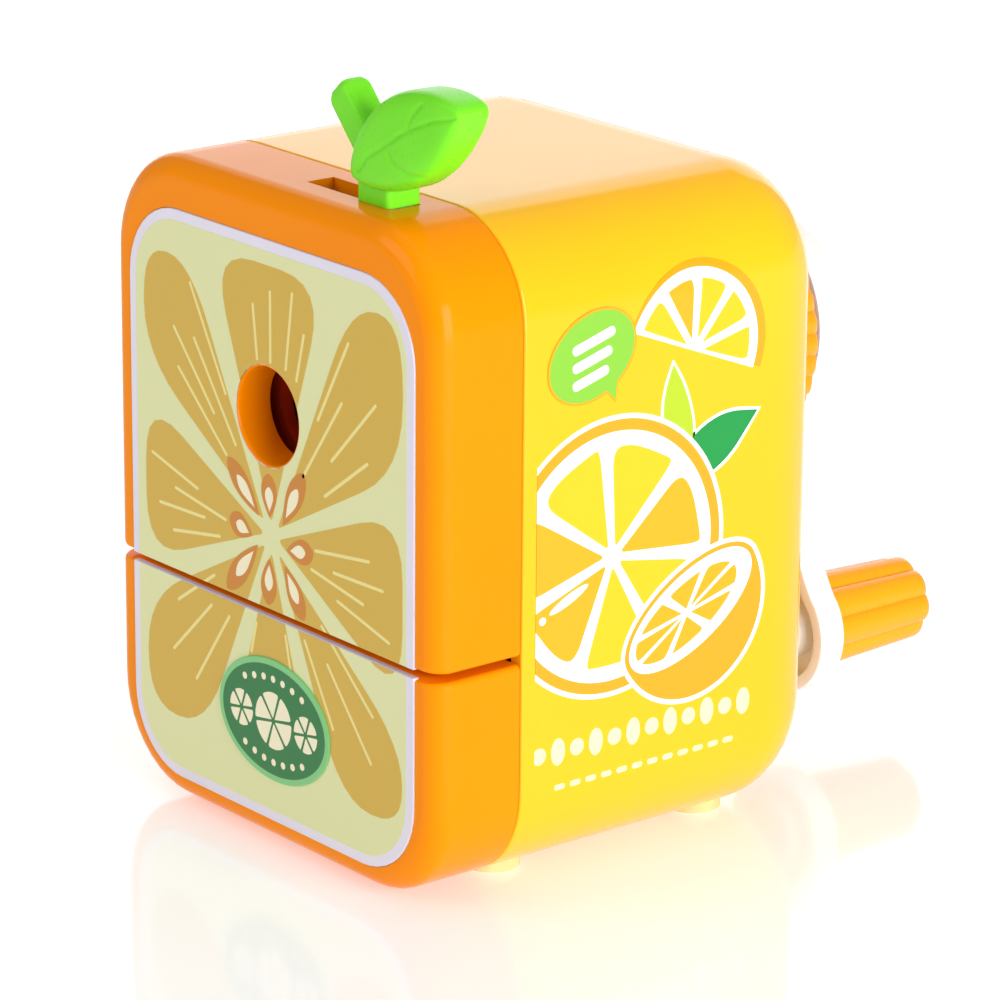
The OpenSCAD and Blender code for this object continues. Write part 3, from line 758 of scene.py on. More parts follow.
@dataclass
class FacePanels:
    """The two printed label plates on the front, one picture cut by the split.

    Attributes:
        half_w: Half width of the plates.
        z0: Lower edge.
        z1: Upper edge.
        r: Radius of the outer corners.
        split: Heights of the two edges of the split.
        sink: Depth of the recess.
        face_d: Depth of the plates' front.
        border: Width of the plain edge.
        hub: Centre of the printed slice.
        spokes: Angles of the gaps between its segments.
        hole: Height and radius of the pencil hole in the plate.
        field_x: Left and right limits of the segments.
        tops: Upper limit of each segment.
        lows: Lower limit of each segment.
    """

    half_w: float = 27.95
    z0: float = 3.65
    z1: float = 75.85
    r: float = 9.75
    split: Point = (29.5, 30.5)
    sink: float = 0.6
    face_d: float = -0.2
    border: float = 1.35
    hub: Point = (0.7, 39.7)
    spokes: tuple[float, ...] = (24.5, 68.1, 113.6, 150.8, 204.2, 248.4, 290.6, 326.8)
    hole: Point = (54.4, 6.28)
    field_x: Point = (-24.9, 25.9)
    tops: tuple[float, ...] = (71.6, 72.8, 70.2, 73.4, 73.4, 73.4, 73.4, 73.4)
    lows: tuple[float, ...] = (8.5, 8.5, 8.5, 8.5, 11.6, 13.0, 10.4, 8.5)

    def outline(self, part: int, t: float, split_t: float) -> list[Point]:
        """Draws one plate's outline.

        Args:
            part: 0 for the upper plate and 1 for the lower one.
            t: How far it is drawn in.
            split_t: How far its split edge is drawn in.

        Returns:
            The outline.
        """
        r, q, x = self.r - t, 0.2, self.half_w - t
        if part == 0:
            return rounded_rect(-x, x, self.split[1] + split_t, self.z1 - t, (q, q, r, r))
        return rounded_rect(-x, x, self.z0 + t, self.split[0] - split_t, (r, r, q, q))

    def recess(self, part: int) -> bpy.types.Object:
        """Makes the tool that cuts a plate's recess, which runs out through the split."""
        outline = self.outline(part, -0.05, -3)
        return stacked("recess_tool", [(outline, -1.0), (outline, self.sink)])

    def plate(self, part: int) -> None:
        """Makes one plate with a softened front edge.

        Args:
            part: 0 for the upper plate and 1 for the lower one.
        """
        steps = [(0.0, self.sink), (0.0, 0.0), (0.06, -0.14), (0.2, self.face_d)]
        layers = [(self.outline(part, t, t * 0.4), d) for t, d in steps]
        if part == 0:
            hole = bore(layers[-1][0], *self.hole)
            layers += [(hole, self.face_d), (hole, self.sink)]
        side, body = (("upper", "carriage"), ("lower", "drawer"))[part]
        fit_out(stacked(f"{side}_label_plate", layers, closed=part == 0), BORDER_PC, body,
                (f"{side}_face_panel",))

    def segments(self) -> list[list[Point]]:
        """Gives the eight segments of the big slice."""
        angles = [*self.spokes, self.spokes[0] + 360]
        left, right = self.field_x
        return [wedge([(left, low), (right, low), (right, top), (left, top)], self.hub, a, b,
                      0.55, 3.3, 8.5, 1.0)
                for a, b, top, low in zip(angles, angles[1:], self.tops, self.lows)]

    def seeds(self) -> list[tuple[Point, Point]]:
        """Gives each seed pocket's outer and inner end."""
        return [
            ((-8.0, 47.5), (-1.7, 41.7)), ((0.2, 47.4), (0.4, 42.0)), ((7.2, 49.1), (3.0, 41.7)),
            ((9.0, 39.7), (3.7, 38.8)), ((-7.7, 40.1), (-3.1, 38.9)), ((-8.3, 30.9), (-2.0, 38.0)),
            ((0.0, 31.0), (0.3, 36.9)), ((7.1, 30.9), (3.3, 36.8)),
        ]

    def rays(self) -> list[tuple[Point, Point]]:
        """Gives the fine pulp lines beside the hub."""
        fans = (
            (46, 17, 29), (36, 13, 23), (55, 11, 24), (61, 19, 31), (82, 21.5, 31), (90, 21.5, 30),
            (97, 21.5, 28), (76, 21, 27), (120, 18, 32), (126, 12, 26), (132, 17, 29),
            (138, 12, 25), (214, 14, 23),
            (224, 17, 28), (235, 15, 27), (300, 13, 24), (310, 17, 30), (319, 13, 26),
            (255, 12, 16), (283, 12, 16),
        )
        radial = [tuple(arc(self.hub, r, a, a, 1)[0] for r in (near, far))
                  for a, near, far in fans]
        return radial + [
            ((-23.5, 44.4), (-14.2, 42.0)), ((-18.7, 41.0), (-8.5, 39.5)),
            ((-22.0, 38.4), (-12.8, 38.7)), ((-19.2, 35.5), (-9.7, 37.1)),
            ((9.4, 40.2), (19.6, 41.5)), ((8.6, 37.7), (18.5, 36.0)),
            ((12.9, 38.4), (22.2, 38.6)), ((13.6, 35.1), (23.4, 32.6)),
        ]

    def prints(self) -> None:
        """Makes the printed layers of both plates, each a thin skin a little above the last."""
        seeds = self.seeds()
        pockets = [lens(inner, outer, 1.55, 0.62, 1.35) for outer, inner in seeds]
        pips = []
        for outer, inner in seeds:
            b, a = (Vector(outer) + (Vector(inner) - Vector(outer)) * share for share in (0.86, 0.3))
            pips.append(lens((b.x, b.y), (a.x, a.y), 0.8, 0.7, 1.5))
        rays = [stroke(a, b, 0.42) for a, b in self.rays()]
        layers = [
            ("field", CREAM_INK, None, 0.02), ("segments", PULP_INK, self.segments(), 0.04),
            ("rays", RAY_INK, rays, 0.055), ("pockets", POCKET_INK, pockets, 0.055),
            ("seeds", SEED_INK, pips, 0.07),
        ]
        for part, body in enumerate(("carriage", "drawer")):
            edge = (0.0, self.split[1] if part == 0 else self.split[0])
            side = (0.0, 1.0 if part == 0 else -1.0)
            for name, finish, shapes, rise in layers:
                draft = Draft()
                if shapes is None:
                    draft.slab(self.outline(part, self.border, 0.08), Face.FRONT, 0.3,
                               self.face_d - rise)
                else:
                    for shape in shapes:
                        draft.slab(clip(shape, (edge[0], edge[1] + side[1] * 0.08), side), Face.FRONT,
                                   -0.1, self.face_d - rise)
                if not draft.mesh.verts:
                    draft.mesh.free()
                    continue
                piece = draft.build(f"{('upper', 'lower')[part]}_print_{name}")
                if part == 0 and name in ("field", "segments"):
                    hole = circle((0, self.hole[0]), self.hole[1], 96)
                    combine(piece, stacked("hole_tool", [(hole, -1.0), (hole, 1.0)]), "DIFFERENCE")
                fit_out(piece, finish, body)

    def badge(self) -> None:
        """Makes the oval badge with three plain citrus wheels and two rows of dots."""
        centre, half, top, low = (1.2, 16.7), (11.0, 7.7), -0.494, -0.3
        rim, field, wheels = Draft(), Draft(), Draft()
        rings = [ellipse(centre, (half[0] - t, half[1] - t)) for t in (0.0, 0.0, 0.08, 0.22)]
        rim.stack(list(zip(rings, (0.2, -0.38, -0.46, -0.48))))
        field.slab(ellipse(centre, (10.2, 6.9)), Face.FRONT, low, -0.488)
        for shift, radius in ((-6.4, 2.3), (0.0, 3.6), (6.4, 2.3)):
            hub = (centre[0] + shift, centre[1])
            box = ellipse(hub, (radius, radius), steps=30)
            for k in range(6):
                wheels.slab(wedge(box, hub, 60 * k + 10, 60 * k + 70, 0.16, 1, 0.4, 0.15),
                            Face.FRONT, low, top)
        for k in range(-3, 4):
            for side in (-1, 1):
                spot = (centre[0] + 1.9 * k, centre[1] + side * (5.3 - 0.12 * k * k))
                wheels.slab(ellipse(spot, (0.45, 0.45), steps=16), Face.FRONT, low, top)
        for draft, name, finish, nodes in ((rim, "badge_rim", BADGE_RIM_INK, ("drawer_badge",)),
                                           (field, "badge_field", BADGE_INK, ()),
                                           (wheels, "badge_wheels", SEED_INK, ())):
            fit_out(draft.build(name), finish, "drawer", nodes)


@dataclass
class SidePrints:
    """The fruit printed on both sides of the housing.

    Attributes:
        wall_x: Distance of the side wall from the middle.
        flat_z: Height where the wall starts to curve in.
        flat_d: Depth where the wall starts to curve in.
        edge_r: Radius of the long edges.
        back_r: Radius of the back.
        start_d: Depth where the print starts, just behind the seam.
        hub: Centre of the big slice in depth and height.
        half_hub: Centre of the half slice above it.
        cut_centre: Centre of the halved fruit.
        cut_tilt: Turn of the halved fruit in degrees.
        half_tilt: Turn of the half slice in degrees.
        rise: Height of the first ink and the step to each next one.
    """

    wall_x: float = 31.88
    flat_z: float = 69.4
    flat_d: float = 51.0
    edge_r: float = 12.6
    back_r: float = 12.0
    start_d: float = 14.7
    hub: Point = (26.2, 40.0)
    half_hub: Point = (38.3, 63.0)
    cut_centre: Point = (38.6, 30.9)
    cut_tilt: float = 29
    half_tilt: float = -21.5
    rise: Point = (0.012, 0.0065)

    def layer(self, name: str, finish: Finish, shapes: list[list[Point]], rise: float) -> None:
        """Prints one colour on both sides.

        Args:
            name: What it shows.
            finish: The ink.
            shapes: Outlines in depth and height.
            rise: Height of the skin above the wall.
        """
        for face in (Face.RIGHT, Face.LEFT):
            draft = Draft()
            for shape in shapes:
                draft.slab(clip(shape, (self.start_d, 0), (1, 0)), face, self.wall_x - 0.3,
                           self.wall_x + rise)
            self.conform(draft, face)
            fit_out(draft.build(f"{face.value}_print_{name}"), finish, "housing")

    def conform(self, draft: Draft, face: Face) -> None:
        """Bends a draft inward where the wall curves.

        Args:
            draft: The flat print.
            face: The side it lies on.
        """
        cuts = [((0, 0, self.flat_z + k), (0, 0, 1)) for k in range(5)]
        cuts += [((0, self.flat_d + k, 0), (0, 1, 0)) for k in range(2)]
        for spot, normal in cuts:
            geometry = draft.mesh.verts[:] + draft.mesh.edges[:] + draft.mesh.faces[:]
            bmesh.ops.bisect_plane(draft.mesh, geom=geometry, dist=1e-8, plane_co=place(*spot),
                                   plane_no=normal)
        sign = 1 if face is Face.RIGHT else -1
        for vert in draft.mesh.verts:
            up = vert.co.z * 1000 - self.flat_z
            back = (vert.co.y - FRONT_Y) * 1000 - self.flat_d
            for past, radius in ((up, self.edge_r), (back, self.back_r)):
                if past > 0:
                    vert.co.x -= sign * (radius - math.sqrt(radius ** 2 - past ** 2)) / 1000

    def make(self) -> None:
        """Prints every colour, from the back one to the front one."""
        hub, half_hub, centre, tilt = self.hub, self.half_hub, self.cut_centre, self.cut_tilt
        disc = [ellipse(hub, (r, r), steps=96) for r in (17.3, 16.7, 15.3)]
        slices = [wedge(ellipse(hub, (13.7, 13.7), steps=14), hub, 43.5 + 360 * k / 7,
                        43.5 + 360 * (k + 1) / 7, 0.45, 2.2, 2.6, 0.8) for k in range(7)]
        half = [ellipse(middle, (r, r), self.half_tilt, 0, 180, 40)
                for middle, r in (((38.8, 63.15), 10.75), (half_hub, 10.0))]
        half_slices = [wedge(ellipse(half_hub, (8.7, 8.7), steps=40), half_hub,
                             self.half_tilt + 36 * k, self.half_tilt + 36 + 36 * k, 0.4, 1.5, 1.6, 0.4)
                       for k in range(5)]
        body, rim = (ellipse(centre, (across, below), tilt, 180, 360, 40)
                     + ellipse(centre, (across, over), tilt, 0, 180, 40)[1:-1]
                     for across, below, over in ((11.3, 10.9, 5.5), (11.9, 11.5, 6.1)))
        cut_face = ellipse(centre, (10.6, 4.9), tilt)
        cut_slices = self.tilted_slices((37.9, 30.7), (8.8, 3.6), tilt)
        lime = [(35.2, 61.9), (33.9, 58.6), (33.7, 55.2), (35.0, 51.8), (38.4, 51.4), (38.5, 54.4),
                (37.2, 58.6)]
        emerald = [(48.6, 54.0), (43.7, 54.7), (39.6, 53.4), (36.6, 50.8), (39.8, 46.8), (44.2, 48.9)]
        layers = [
            ("leaf_edge", WHITE_INK, [self.blade(lime, 0.5), self.blade(emerald, 0.5)]),
            ("lime_leaf", LIME_INK, [self.blade(lime, 0.0)]),
            ("emerald_leaf", EMERALD_INK, [self.blade(emerald, 0.0)]),
            ("slice_edge", WHITE_INK, [disc[0]]),
            ("slice_rind", RIND_INK, [disc[1], half[0]]),
            ("slice_pith", WHITE_INK, [disc[2], half[1]]),
            ("slice_pulp", BRIGHT_PULP_INK,
             [slices[k] for k in (0, 1, 4, 5)] + [half_slices[k] for k in (0, 1, 2, 4)]),
            ("slice_deep_pulp", DEEP_PULP_INK, [slices[k] for k in (2, 3, 6)] + [half_slices[3]]),
            ("slice_glint", WHITE_INK, [lens((16.7, 34.8), (22.6, 37.4), 0.6, 0.5),
                                        ellipse((15.7, 34.2), (0.5, 0.5), steps=16)]),
            ("fruit_edge", WHITE_INK, [rim]),
            ("fruit_rind", RIND_INK, [body]),
            ("fruit_pith", WHITE_INK, [cut_face]),
            ("fruit_pulp", DEEP_PULP_INK, cut_slices),
            ("bubble_edge", RIND_INK, [self.bubble(0.3)]),
            ("bubble", BUBBLE_INK, [self.bubble(0.0)]),
            ("bubble_bars", WHITE_INK, [self.bar(22.9 - 0.2 * k, 66.8 - 2.2 * k, 6.6 - 0.5 * k)
                                        for k in range(3)]),
        ]
        for level, (name, finish, shapes) in enumerate(layers):
            self.layer(name, finish, shapes, self.rise[0] + self.rise[1] * level)
        self.rows()

    def tilted_slices(self, hub: Point, half: Point, tilt: float) -> list[list[Point]]:
        """Draws eight segments inside a tilted ellipse.

        Args:
            hub: Its centre.
            half: Its half axes.
            tilt: Its turn in degrees.

        Returns:
            The segments.
        """
        squeeze = half[1] / half[0]
        field = ellipse((0, 0), (half[0], half[0]), steps=40)
        round_slices = [wedge(field, (0, 0), 45 * k + 12, 45 * k + 57, 0.35, 2.0, 1.4, 0.4)
                        for k in range(8)]
        return [turned([(u, v * squeeze) for u, v in flat], math.radians(tilt), hub)
                for flat in round_slices]

    def blade(self, corners: list[Point], grow: float) -> list[Point]:
        """Draws a printed leaf with a sharp tip and curved sides.

        Args:
            corners: Its corners, the tip first.
            grow: How far it is drawn out.

        Returns:
            The outline.
        """
        middle = (sum(x for x, _ in corners) / len(corners), sum(z for _, z in corners) / len(corners))
        spread = []
        for x, z in corners:
            reach = math.dist((x, z), middle)
            share = 1 + grow * (1.25 if not spread else 1.0) / reach
            spread.append((middle[0] + (x - middle[0]) * share, middle[1] + (z - middle[1]) * share))
        return soften(spread, [0.3] + [2.5] * (len(corners) - 1))

    def bubble(self, grow: float) -> list[Point]:
        """Draws the speech bubble and its tail, drawn out by a distance."""
        oval = ellipse((22.7, 65.0), (6.6 + grow, 5.0 + grow), 24, -72, 272, 60)
        return oval + [(26.3, 59.2 - grow)]

    def bar(self, d: float, z: float, length: float) -> list[Point]:
        """Draws a rising rounded bar about its middle."""
        flat = rounded_rect(-length / 2, length / 2, -0.6, 0.6, (0.55,) * 4, 5, 1)
        return turned(flat, math.radians(16), (d, z))

    def rows(self) -> None:
        """Prints a row of dots and a row of dashes."""
        count, rise = 12, 0.03
        dots = [ellipse((15.4 + 2.9 * k, 17.5), (1.05, 1.7 if k % 2 else 1.05), steps=24)
                for k in range(count)]
        dashes = [rounded_rect(17.8 + 2.4 * k, 19.4 + 2.4 * k, 12.7, 13.4, (0.33,) * 4, 5, 1)
                  for k in range(count)]
        for name, marks in (("dot_row", dots), ("dash_row", dashes)):
            self.layer(name, PALE_INK, marks, rise)


# ---- leaf lever ----


@dataclass
class Leaf:
    """The green leaf that works the pencil clamp, with its stem block and its cut stalk.

    Attributes:
        base: The leaf's blunt end in X and Z.
        tip: Its point.
        above: Bulge over the axis.
        below: Bulge under the axis.
        depths: Depths of its front and back.
        groove: Depth of the engraved veins.
        groove_w: Half width of the veins.
        veins: Lines of the veins in X and Z.
        stem_x: Sides of the stem block.
        stem_d: Its front and back.
        stalk_foot: Where the stalk's axis starts in X and Z.
        stalk_lean: Its lean in degrees.
    """

    base: Point = (10.9, 85.1)
    tip: Point = (30.5, 95.9)
    above: float = 6.0
    below: float = 4.7
    depths: Point = (3.4, 8.9)
    groove: float = 0.22
    groove_w: float = 0.22
    stem_x: Point = (10.6, 16.7)
    stem_d: Point = (4.8, 9.7)
    stalk_foot: Point = (13.6, 85.0)
    stalk_lean: float = 43
    veins: tuple[tuple[Point, ...], ...] = (
        ((30.0, 95.2), (26.0, 94.2), (21.4, 92.2), (17.5, 89.8), (14.5, 88.0), (12.2, 85.9)),
        ((21.9, 92.6), (22.6, 94.2), (24.2, 95.8)),
        ((17.7, 90.1), (19.0, 88.4), (21.5, 87.3), (25.4, 87.2)),
        ((17.0, 89.6), (14.6, 88.2), (12.9, 86.2)),
    )

    def vein_depth(self, x: float, z: float) -> float:
        """Gives the depth of the engraving at a point.

        Args:
            x: Place across.
            z: Height.

        Returns:
            The depth in mm.
        """
        spot = Vector((x, z))
        nearest = 1e9
        for vein in self.veins:
            for a, b in zip(vein, vein[1:]):
                start, way = Vector(a), Vector(b) - Vector(a)
                t = max(0.0, min(1.0, (spot - start).dot(way) / way.length_squared))
                nearest = min(nearest, (spot - start - way * t).length)
        return self.groove * math.exp(-((nearest / self.groove_w) ** 2))

    def make(self) -> None:
        """Makes the whole leaf as one moulding."""
        start, way = Vector(self.base), Vector(self.tip) - Vector(self.base)
        across = Vector((-way.y, way.x)).normalized()
        mid, half = sum(self.depths) / 2, (self.depths[1] - self.depths[0]) / 2
        rings = []
        count, front, back = 96, 72, 24
        for i in range(count + 1):
            s = 0.002 + 0.996 * (1 - math.cos(math.pi * i / count)) / 2
            swell = math.sin(math.pi * s ** 0.9)
            high, low = self.above * swell ** 0.66, -self.below * swell ** 0.72
            thick = half * max(swell, 1e-4) ** 0.06
            ring = []
            for k in range(front + back):
                if k <= front:
                    u, sign = math.sin(math.pi / 2 * (2 * k / front - 1)), -1
                else:
                    u, sign = math.sin(math.pi / 2 * (1 - 2 * (k - front) / back)), 1
                n = (high + low) / 2 + u * (high - low) / 2
                power = 4.5 if sign < 0 else 9
                dome = max(0.0, 1 - abs(u) ** power) ** (1 / power)
                spot = start + way * s + across * n
                depth = mid + sign * thick * dome
                if sign < 0:
                    depth += self.vein_depth(spot.x, spot.y) * min(1.0, dome * 1.5)
                ring.append((spot.x, depth, spot.y))
            rings.append(ring)
        piece = lofted("leaf_lever_cap", rings)
        for tool in (self.stem(), self.stalk()):
            combine(piece, tool, "UNION")
        fit_out(piece, LEAF_PP, "lever", ("leaf_cap",), 50)

    def stem(self) -> bpy.types.Object:
        """Makes the block under the leaf that stands in the slot."""
        (x0, x1), (d0, d1) = self.stem_x, self.stem_d
        rings = []
        for t, z in ((0.0, 82.03), (0.0, 83.0), (0.0, 86.0), (0.1, 86.7), (0.5, 87.2)):
            outline = rounded_rect(x0 + t, x1 - t, d0 + t, d1 - t, (0.7,) * 4, 6, 4)
            rings.append([(x, d, z) for x, d in outline])
        return lofted("stem_tool", rings)

    def stalk(self) -> bpy.types.Object:
        """Makes the cut stalk that leans back behind the leaf."""
        rings = []
        for t, along in ((0.6, -0.6), (0.0, 0.0), (0.0, 6.0), (0.0, 11.2), (0.12, 11.8),
                         (0.4, 12.35), (0.9, 12.6)):
            outline = rounded_rect(-2.2 + t, 2.2 - t, 5.7 + t, 9.7 - t, (0.9,) * 4, 6, 3)
            row = turned([(u, along) for u, _ in outline], math.radians(self.stalk_lean),
                         self.stalk_foot)
            rings.append([(x, d, z) for (x, z), (_, d) in zip(row, outline)])
        return lofted("stalk_tool", rings)


# ---- crank ----


@dataclass
class Crank:
    """The white crank arm, the knob behind the housing and the handle.

    Attributes:
        axis_z: Height of the crank's axis.
        handle: The handle's axis in X and Z at rest.
        hub_r: Radius of the hub end.
        end_r: Radius of the handle end.
        waist: Half width at the waist.
        waist_r: Radius of the waist's arcs.
        arm_d: Front and rear of the arm.
        rim: Width of its raised rim.
        knob_r: Radius over the knob's ribs.
        ribs: Number of ribs.
    """

    axis_z: float = 54.4
    handle: Point = (7.2, 13.9)
    hub_r: float = 13.5
    end_r: float = 8.2
    waist: float = 4.6
    waist_r: float = 28.0
    arm_d: Point = (75.5, 80.0)
    rim: float = 1.7
    knob_r: float = 17.05
    ribs: int = 36

    def outline(self, t: float) -> list[Point]:
        """Draws the arm's outline: two round ends and two hollow arcs that touch both.

        Args:
            t: How far it is drawn in.

        Returns:
            The outline in X and Z.
        """
        length = math.dist((0, self.axis_z), self.handle)
        across = self.waist_r + self.waist
        along = math.sqrt((self.waist_r + self.hub_r) ** 2 - across ** 2)
        low = length - along
        to_hub = math.degrees(math.atan2(along, across))
        to_end = math.degrees(math.atan2(low, across))
        points = arc((0, 0), self.hub_r - t, -to_hub, 180 + to_hub, 40)
        points += arc((-across, -along), self.waist_r + t, to_hub, -to_end, 28)[1:-1]
        points += arc((0, -length), self.end_r - t, 180 - to_end, 360 + to_end, 32)
        points += arc((across, -along), self.waist_r + t, 180 + to_end, 180 - to_hub, 28)[1:-1]
        turn = math.atan2(self.handle[0], self.axis_z - self.handle[1])
        return turned(points, turn, (0, self.axis_z))

    def arm(self) -> None:
        """Makes the arm, hollow towards the housing, with its hub and pin bosses."""
        front, rear = self.arm_d
        floor = rear - 1.8
        steps = [(self.rim + 0.25, floor), (self.rim, floor - 0.3), (self.rim, front + 0.4),
                 (self.rim - 0.1, front + 0.1), (self.rim - 0.4, front), (0.4, front),
                 (0.1, front + 0.1), (0.0, front + 0.4), (0.0, rear - 1.2), (0.15, rear - 0.55),
                 (0.5, rear - 0.16), (1.1, rear)]
        piece = stacked("white_crank_arm", [(self.outline(t), d) for t, d in steps])
        boss, holes, hub = Draft(), Draft(), (0, self.axis_z)
        boss.stack([(circle(hub, r), d) for r, d in
                    ((5.7, 74.0), (6.0, 74.3), (6.0, rear - 0.6), (5.8, rear - 0.5))])
        boss.stack([(circle(self.handle, r), d) for r, d in
                    ((3.8, front), (4.0, front + 0.2), (4.0, rear - 0.5), (3.8, rear - 0.4))])
        combine(piece, boss.build("boss_tool"), "UNION")
        holes.stack([(circle(hub, r), d) for r, d in
                     ((3.0, 73.0), (3.0, 78.5), (3.5, 78.5), (3.5, rear - 0.2), (3.7, rear),
                      (4.4, rear + 0.6))])
        holes.stack([(circle(self.handle, 2.0), d) for d in (73.0, 81.0)])
        combine(piece, holes.build("hole_tool"), "DIFFERENCE")
        fit_out(piece, WHITE_PS, "rotor", ("crank_arm",))

    def ribbed(self, radius: float, height: float) -> list[Point]:
        """Draws a circle with the knob's ribs.

        Args:
            radius: Radius over the ribs.
            height: Height of the ribs.

        Returns:
            The outline.
        """
        points = []
        for i in range(self.ribs * 12):
            a = 2 * math.pi * i / (self.ribs * 12)
            r = radius - height + height * abs(math.cos(self.ribs * a / 2)) ** 0.8
            points.append((r * math.cos(a), self.axis_z + r * math.sin(a)))
        return points

    def knob(self) -> None:
        """Makes the ribbed adjuster knob."""
        steps = [(16.0, 0.0, 63.4), (16.5, 0.3, 63.5), (16.9, 0.55, 63.9), (self.knob_r, 0.62, 64.5),
                 (self.knob_r, 0.62, 71.3), (16.9, 0.55, 72.0), (16.5, 0.3, 72.4), (16.0, 0.0, 72.5),
                 (14.7, 0.0, 72.5), (14.5, 0.0, 72.3), (14.5, 0.0, 66.0), (11.0, 0.0, 66.0),
                 (11.0, 0.0, 72.3), (10.8, 0.0, 72.5), (9.4, 0.0, 72.5), (9.2, 0.0, 72.3),
                 (9.2, 0.0, 66.0), (5.06, 0.0, 66.0), (5.06, 0.0, 63.4)]
        layers = [(self.ribbed(r, h), d) for r, h, d in steps]
        fit_out(stacked("amber_adjuster_knob", layers, closed=True), KNOB_ABS, "knob",
                ("adjuster_knob",), 50)

    def lobed(self, radius: float, share: float) -> list[Point]:
        """Draws the handle's section.

        Args:
            radius: Radius over the lobes.
            share: Depth of the hollows between them, as a share of the radius.

        Returns:
            The outline.
        """
        points = []
        for i in range(160):
            a = 2 * math.pi * i / 160
            r = radius * (1 - share + share * abs(math.cos(4 * a + 0.3)) ** 0.7)
            points.append((self.handle[0] + r * math.cos(a), self.handle[1] + r * math.sin(a)))
        return points

    def grip(self) -> None:
        """Makes the lobed handle, a little wider at the arm."""
        steps = [(5.9, 0.12, 80.3), (6.15, 0.13, 80.5), (6.2, 0.13, 81.0), (5.9, 0.13, 88.0),
                 (5.62, 0.13, 95.0), (5.55, 0.13, 96.4), (5.4, 0.13, 97.0), (5.1, 0.12, 97.35),
                 (4.6, 0.09, 97.5), (3.5, 0.0, 97.5), (3.4, 0.0, 97.4), (3.4, 0.0, 94.9),
                 (2.06, 0.0, 94.9), (2.06, 0.0, 80.3)]
        layers = [(self.lobed(r, share), d) for r, share, d in steps]
        fit_out(stacked("amber_handle_grip", layers, closed=True), HANDLE_ABS, "handle",
                ("handle_grip",), 40)

    def cap(self) -> None:
        """Makes the plug in the end of the handle, slightly domed."""
        steps = [(3.34, 96.3), (3.34, 97.0), (3.2, 97.2), (2.4, 97.34), (1.2, 97.4)]
        piece = stacked("amber_handle_plug", [(circle(self.handle, r, 48), d) for r, d in steps])
        fit_out(piece, HANDLE_ABS, "handle", ("handle_cap",), 50)


# ---- springs ----


@dataclass
class Spring:
    """A coil spring.

    Attributes:
        name: The piece's name.
        node: The CAD node it stands for.
        body: The body it rides on.
        joint: The joint that shortens it; not used.
        start: Its fixed end in x, depth and z.
        axis: Its direction in the frame.
        length: Its length at rest.
        radius: Radius of the coil.
        wire: Radius of the wire.
        turns: Number of turns.
        keep: Share of the length left at the joint's limit; not used.
    """

    name: str
    node: str
    body: str
    joint: str
    start: Spot
    axis: Spot
    length: float
    radius: float
    wire: float
    turns: int
    keep: float

    def make(self) -> None:
        """Makes the spring, closed up at both ends."""
        steps, sides = self.turns * 28, 10
        rings = []
        for i in range(steps + 1):
            share = i / steps
            a = 2 * math.pi * self.turns * share
            pitch = share - 0.4 / self.turns * math.sin(2 * math.pi * share)
            along = self.wire + (self.length - 2 * self.wire) * pitch
            ring = []
            for k in range(sides):
                q = 2 * math.pi * k / sides
                r = self.radius + self.wire * math.cos(q)
                u, v, w = r * math.cos(a), r * math.sin(a), along + self.wire * math.sin(q)
                x, d, z = self.start
                ring.append((x + u, d + w, z + v) if self.axis[1] else (x + w, d + u, z + v))
            rings.append(ring)
        piece = lofted(self.name, rings)
        fit_out(piece, SPRING_WIRE, self.body, (self.node,), 60)
        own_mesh(piece)


# ---- the CAD's own nodes ----

NODE_FINISHES: dict[Finish, tuple[str, ...]] = {
    FRAME_POM: ("inner_frame", "carriage_plate", "lever_plate", "cutter_carrier"),
    TURNED_STEEL: ("frame_screws", "guide_rod_left", "guide_rod_right", "rod_collars", "drive_shaft",
                   "cutter_pin", "crank_screw", "handle_pin", "point_stop"),
    FOOT_RUBBER: ("rubber_feet",),
    BRASS: ("rear_bush", "cutter_pinion", "adjuster_nut"),
    CUTTER_STEEL: ("ring_gear", "helical_cutter"),
    SHADED_CLAMP_POM: ("clamp_ring", "clamp_jaw_1", "clamp_jaw_2", "clamp_jaw_3"),
    WHITE_PS: ("drawer_bin",),
}
EDGE_WIDTH = 0.00015
EDGE_ANGLE = 40


def dress_nodes() -> None:
    """Gives every CAD node that stays on show its material, a fine edge and weighted normals."""
    for finish, names in NODE_FINISHES.items():
        for name in names:
            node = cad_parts[name]
            node.data.materials.clear()
            node.data.materials.append(finish.material())
            edge = node.modifiers.new("edge", "BEVEL")
            edge.width, edge.segments, edge.harden_normals = EDGE_WIDTH, 2, True
            edge.limit_method, edge.angle_limit = "ANGLE", math.radians(EDGE_ANGLE)
            node.modifiers.new("weighted", "WEIGHTED_NORMAL").keep_sharp = True
            LOG.info("%s in %s", name, finish.name)


# ---- studio ----


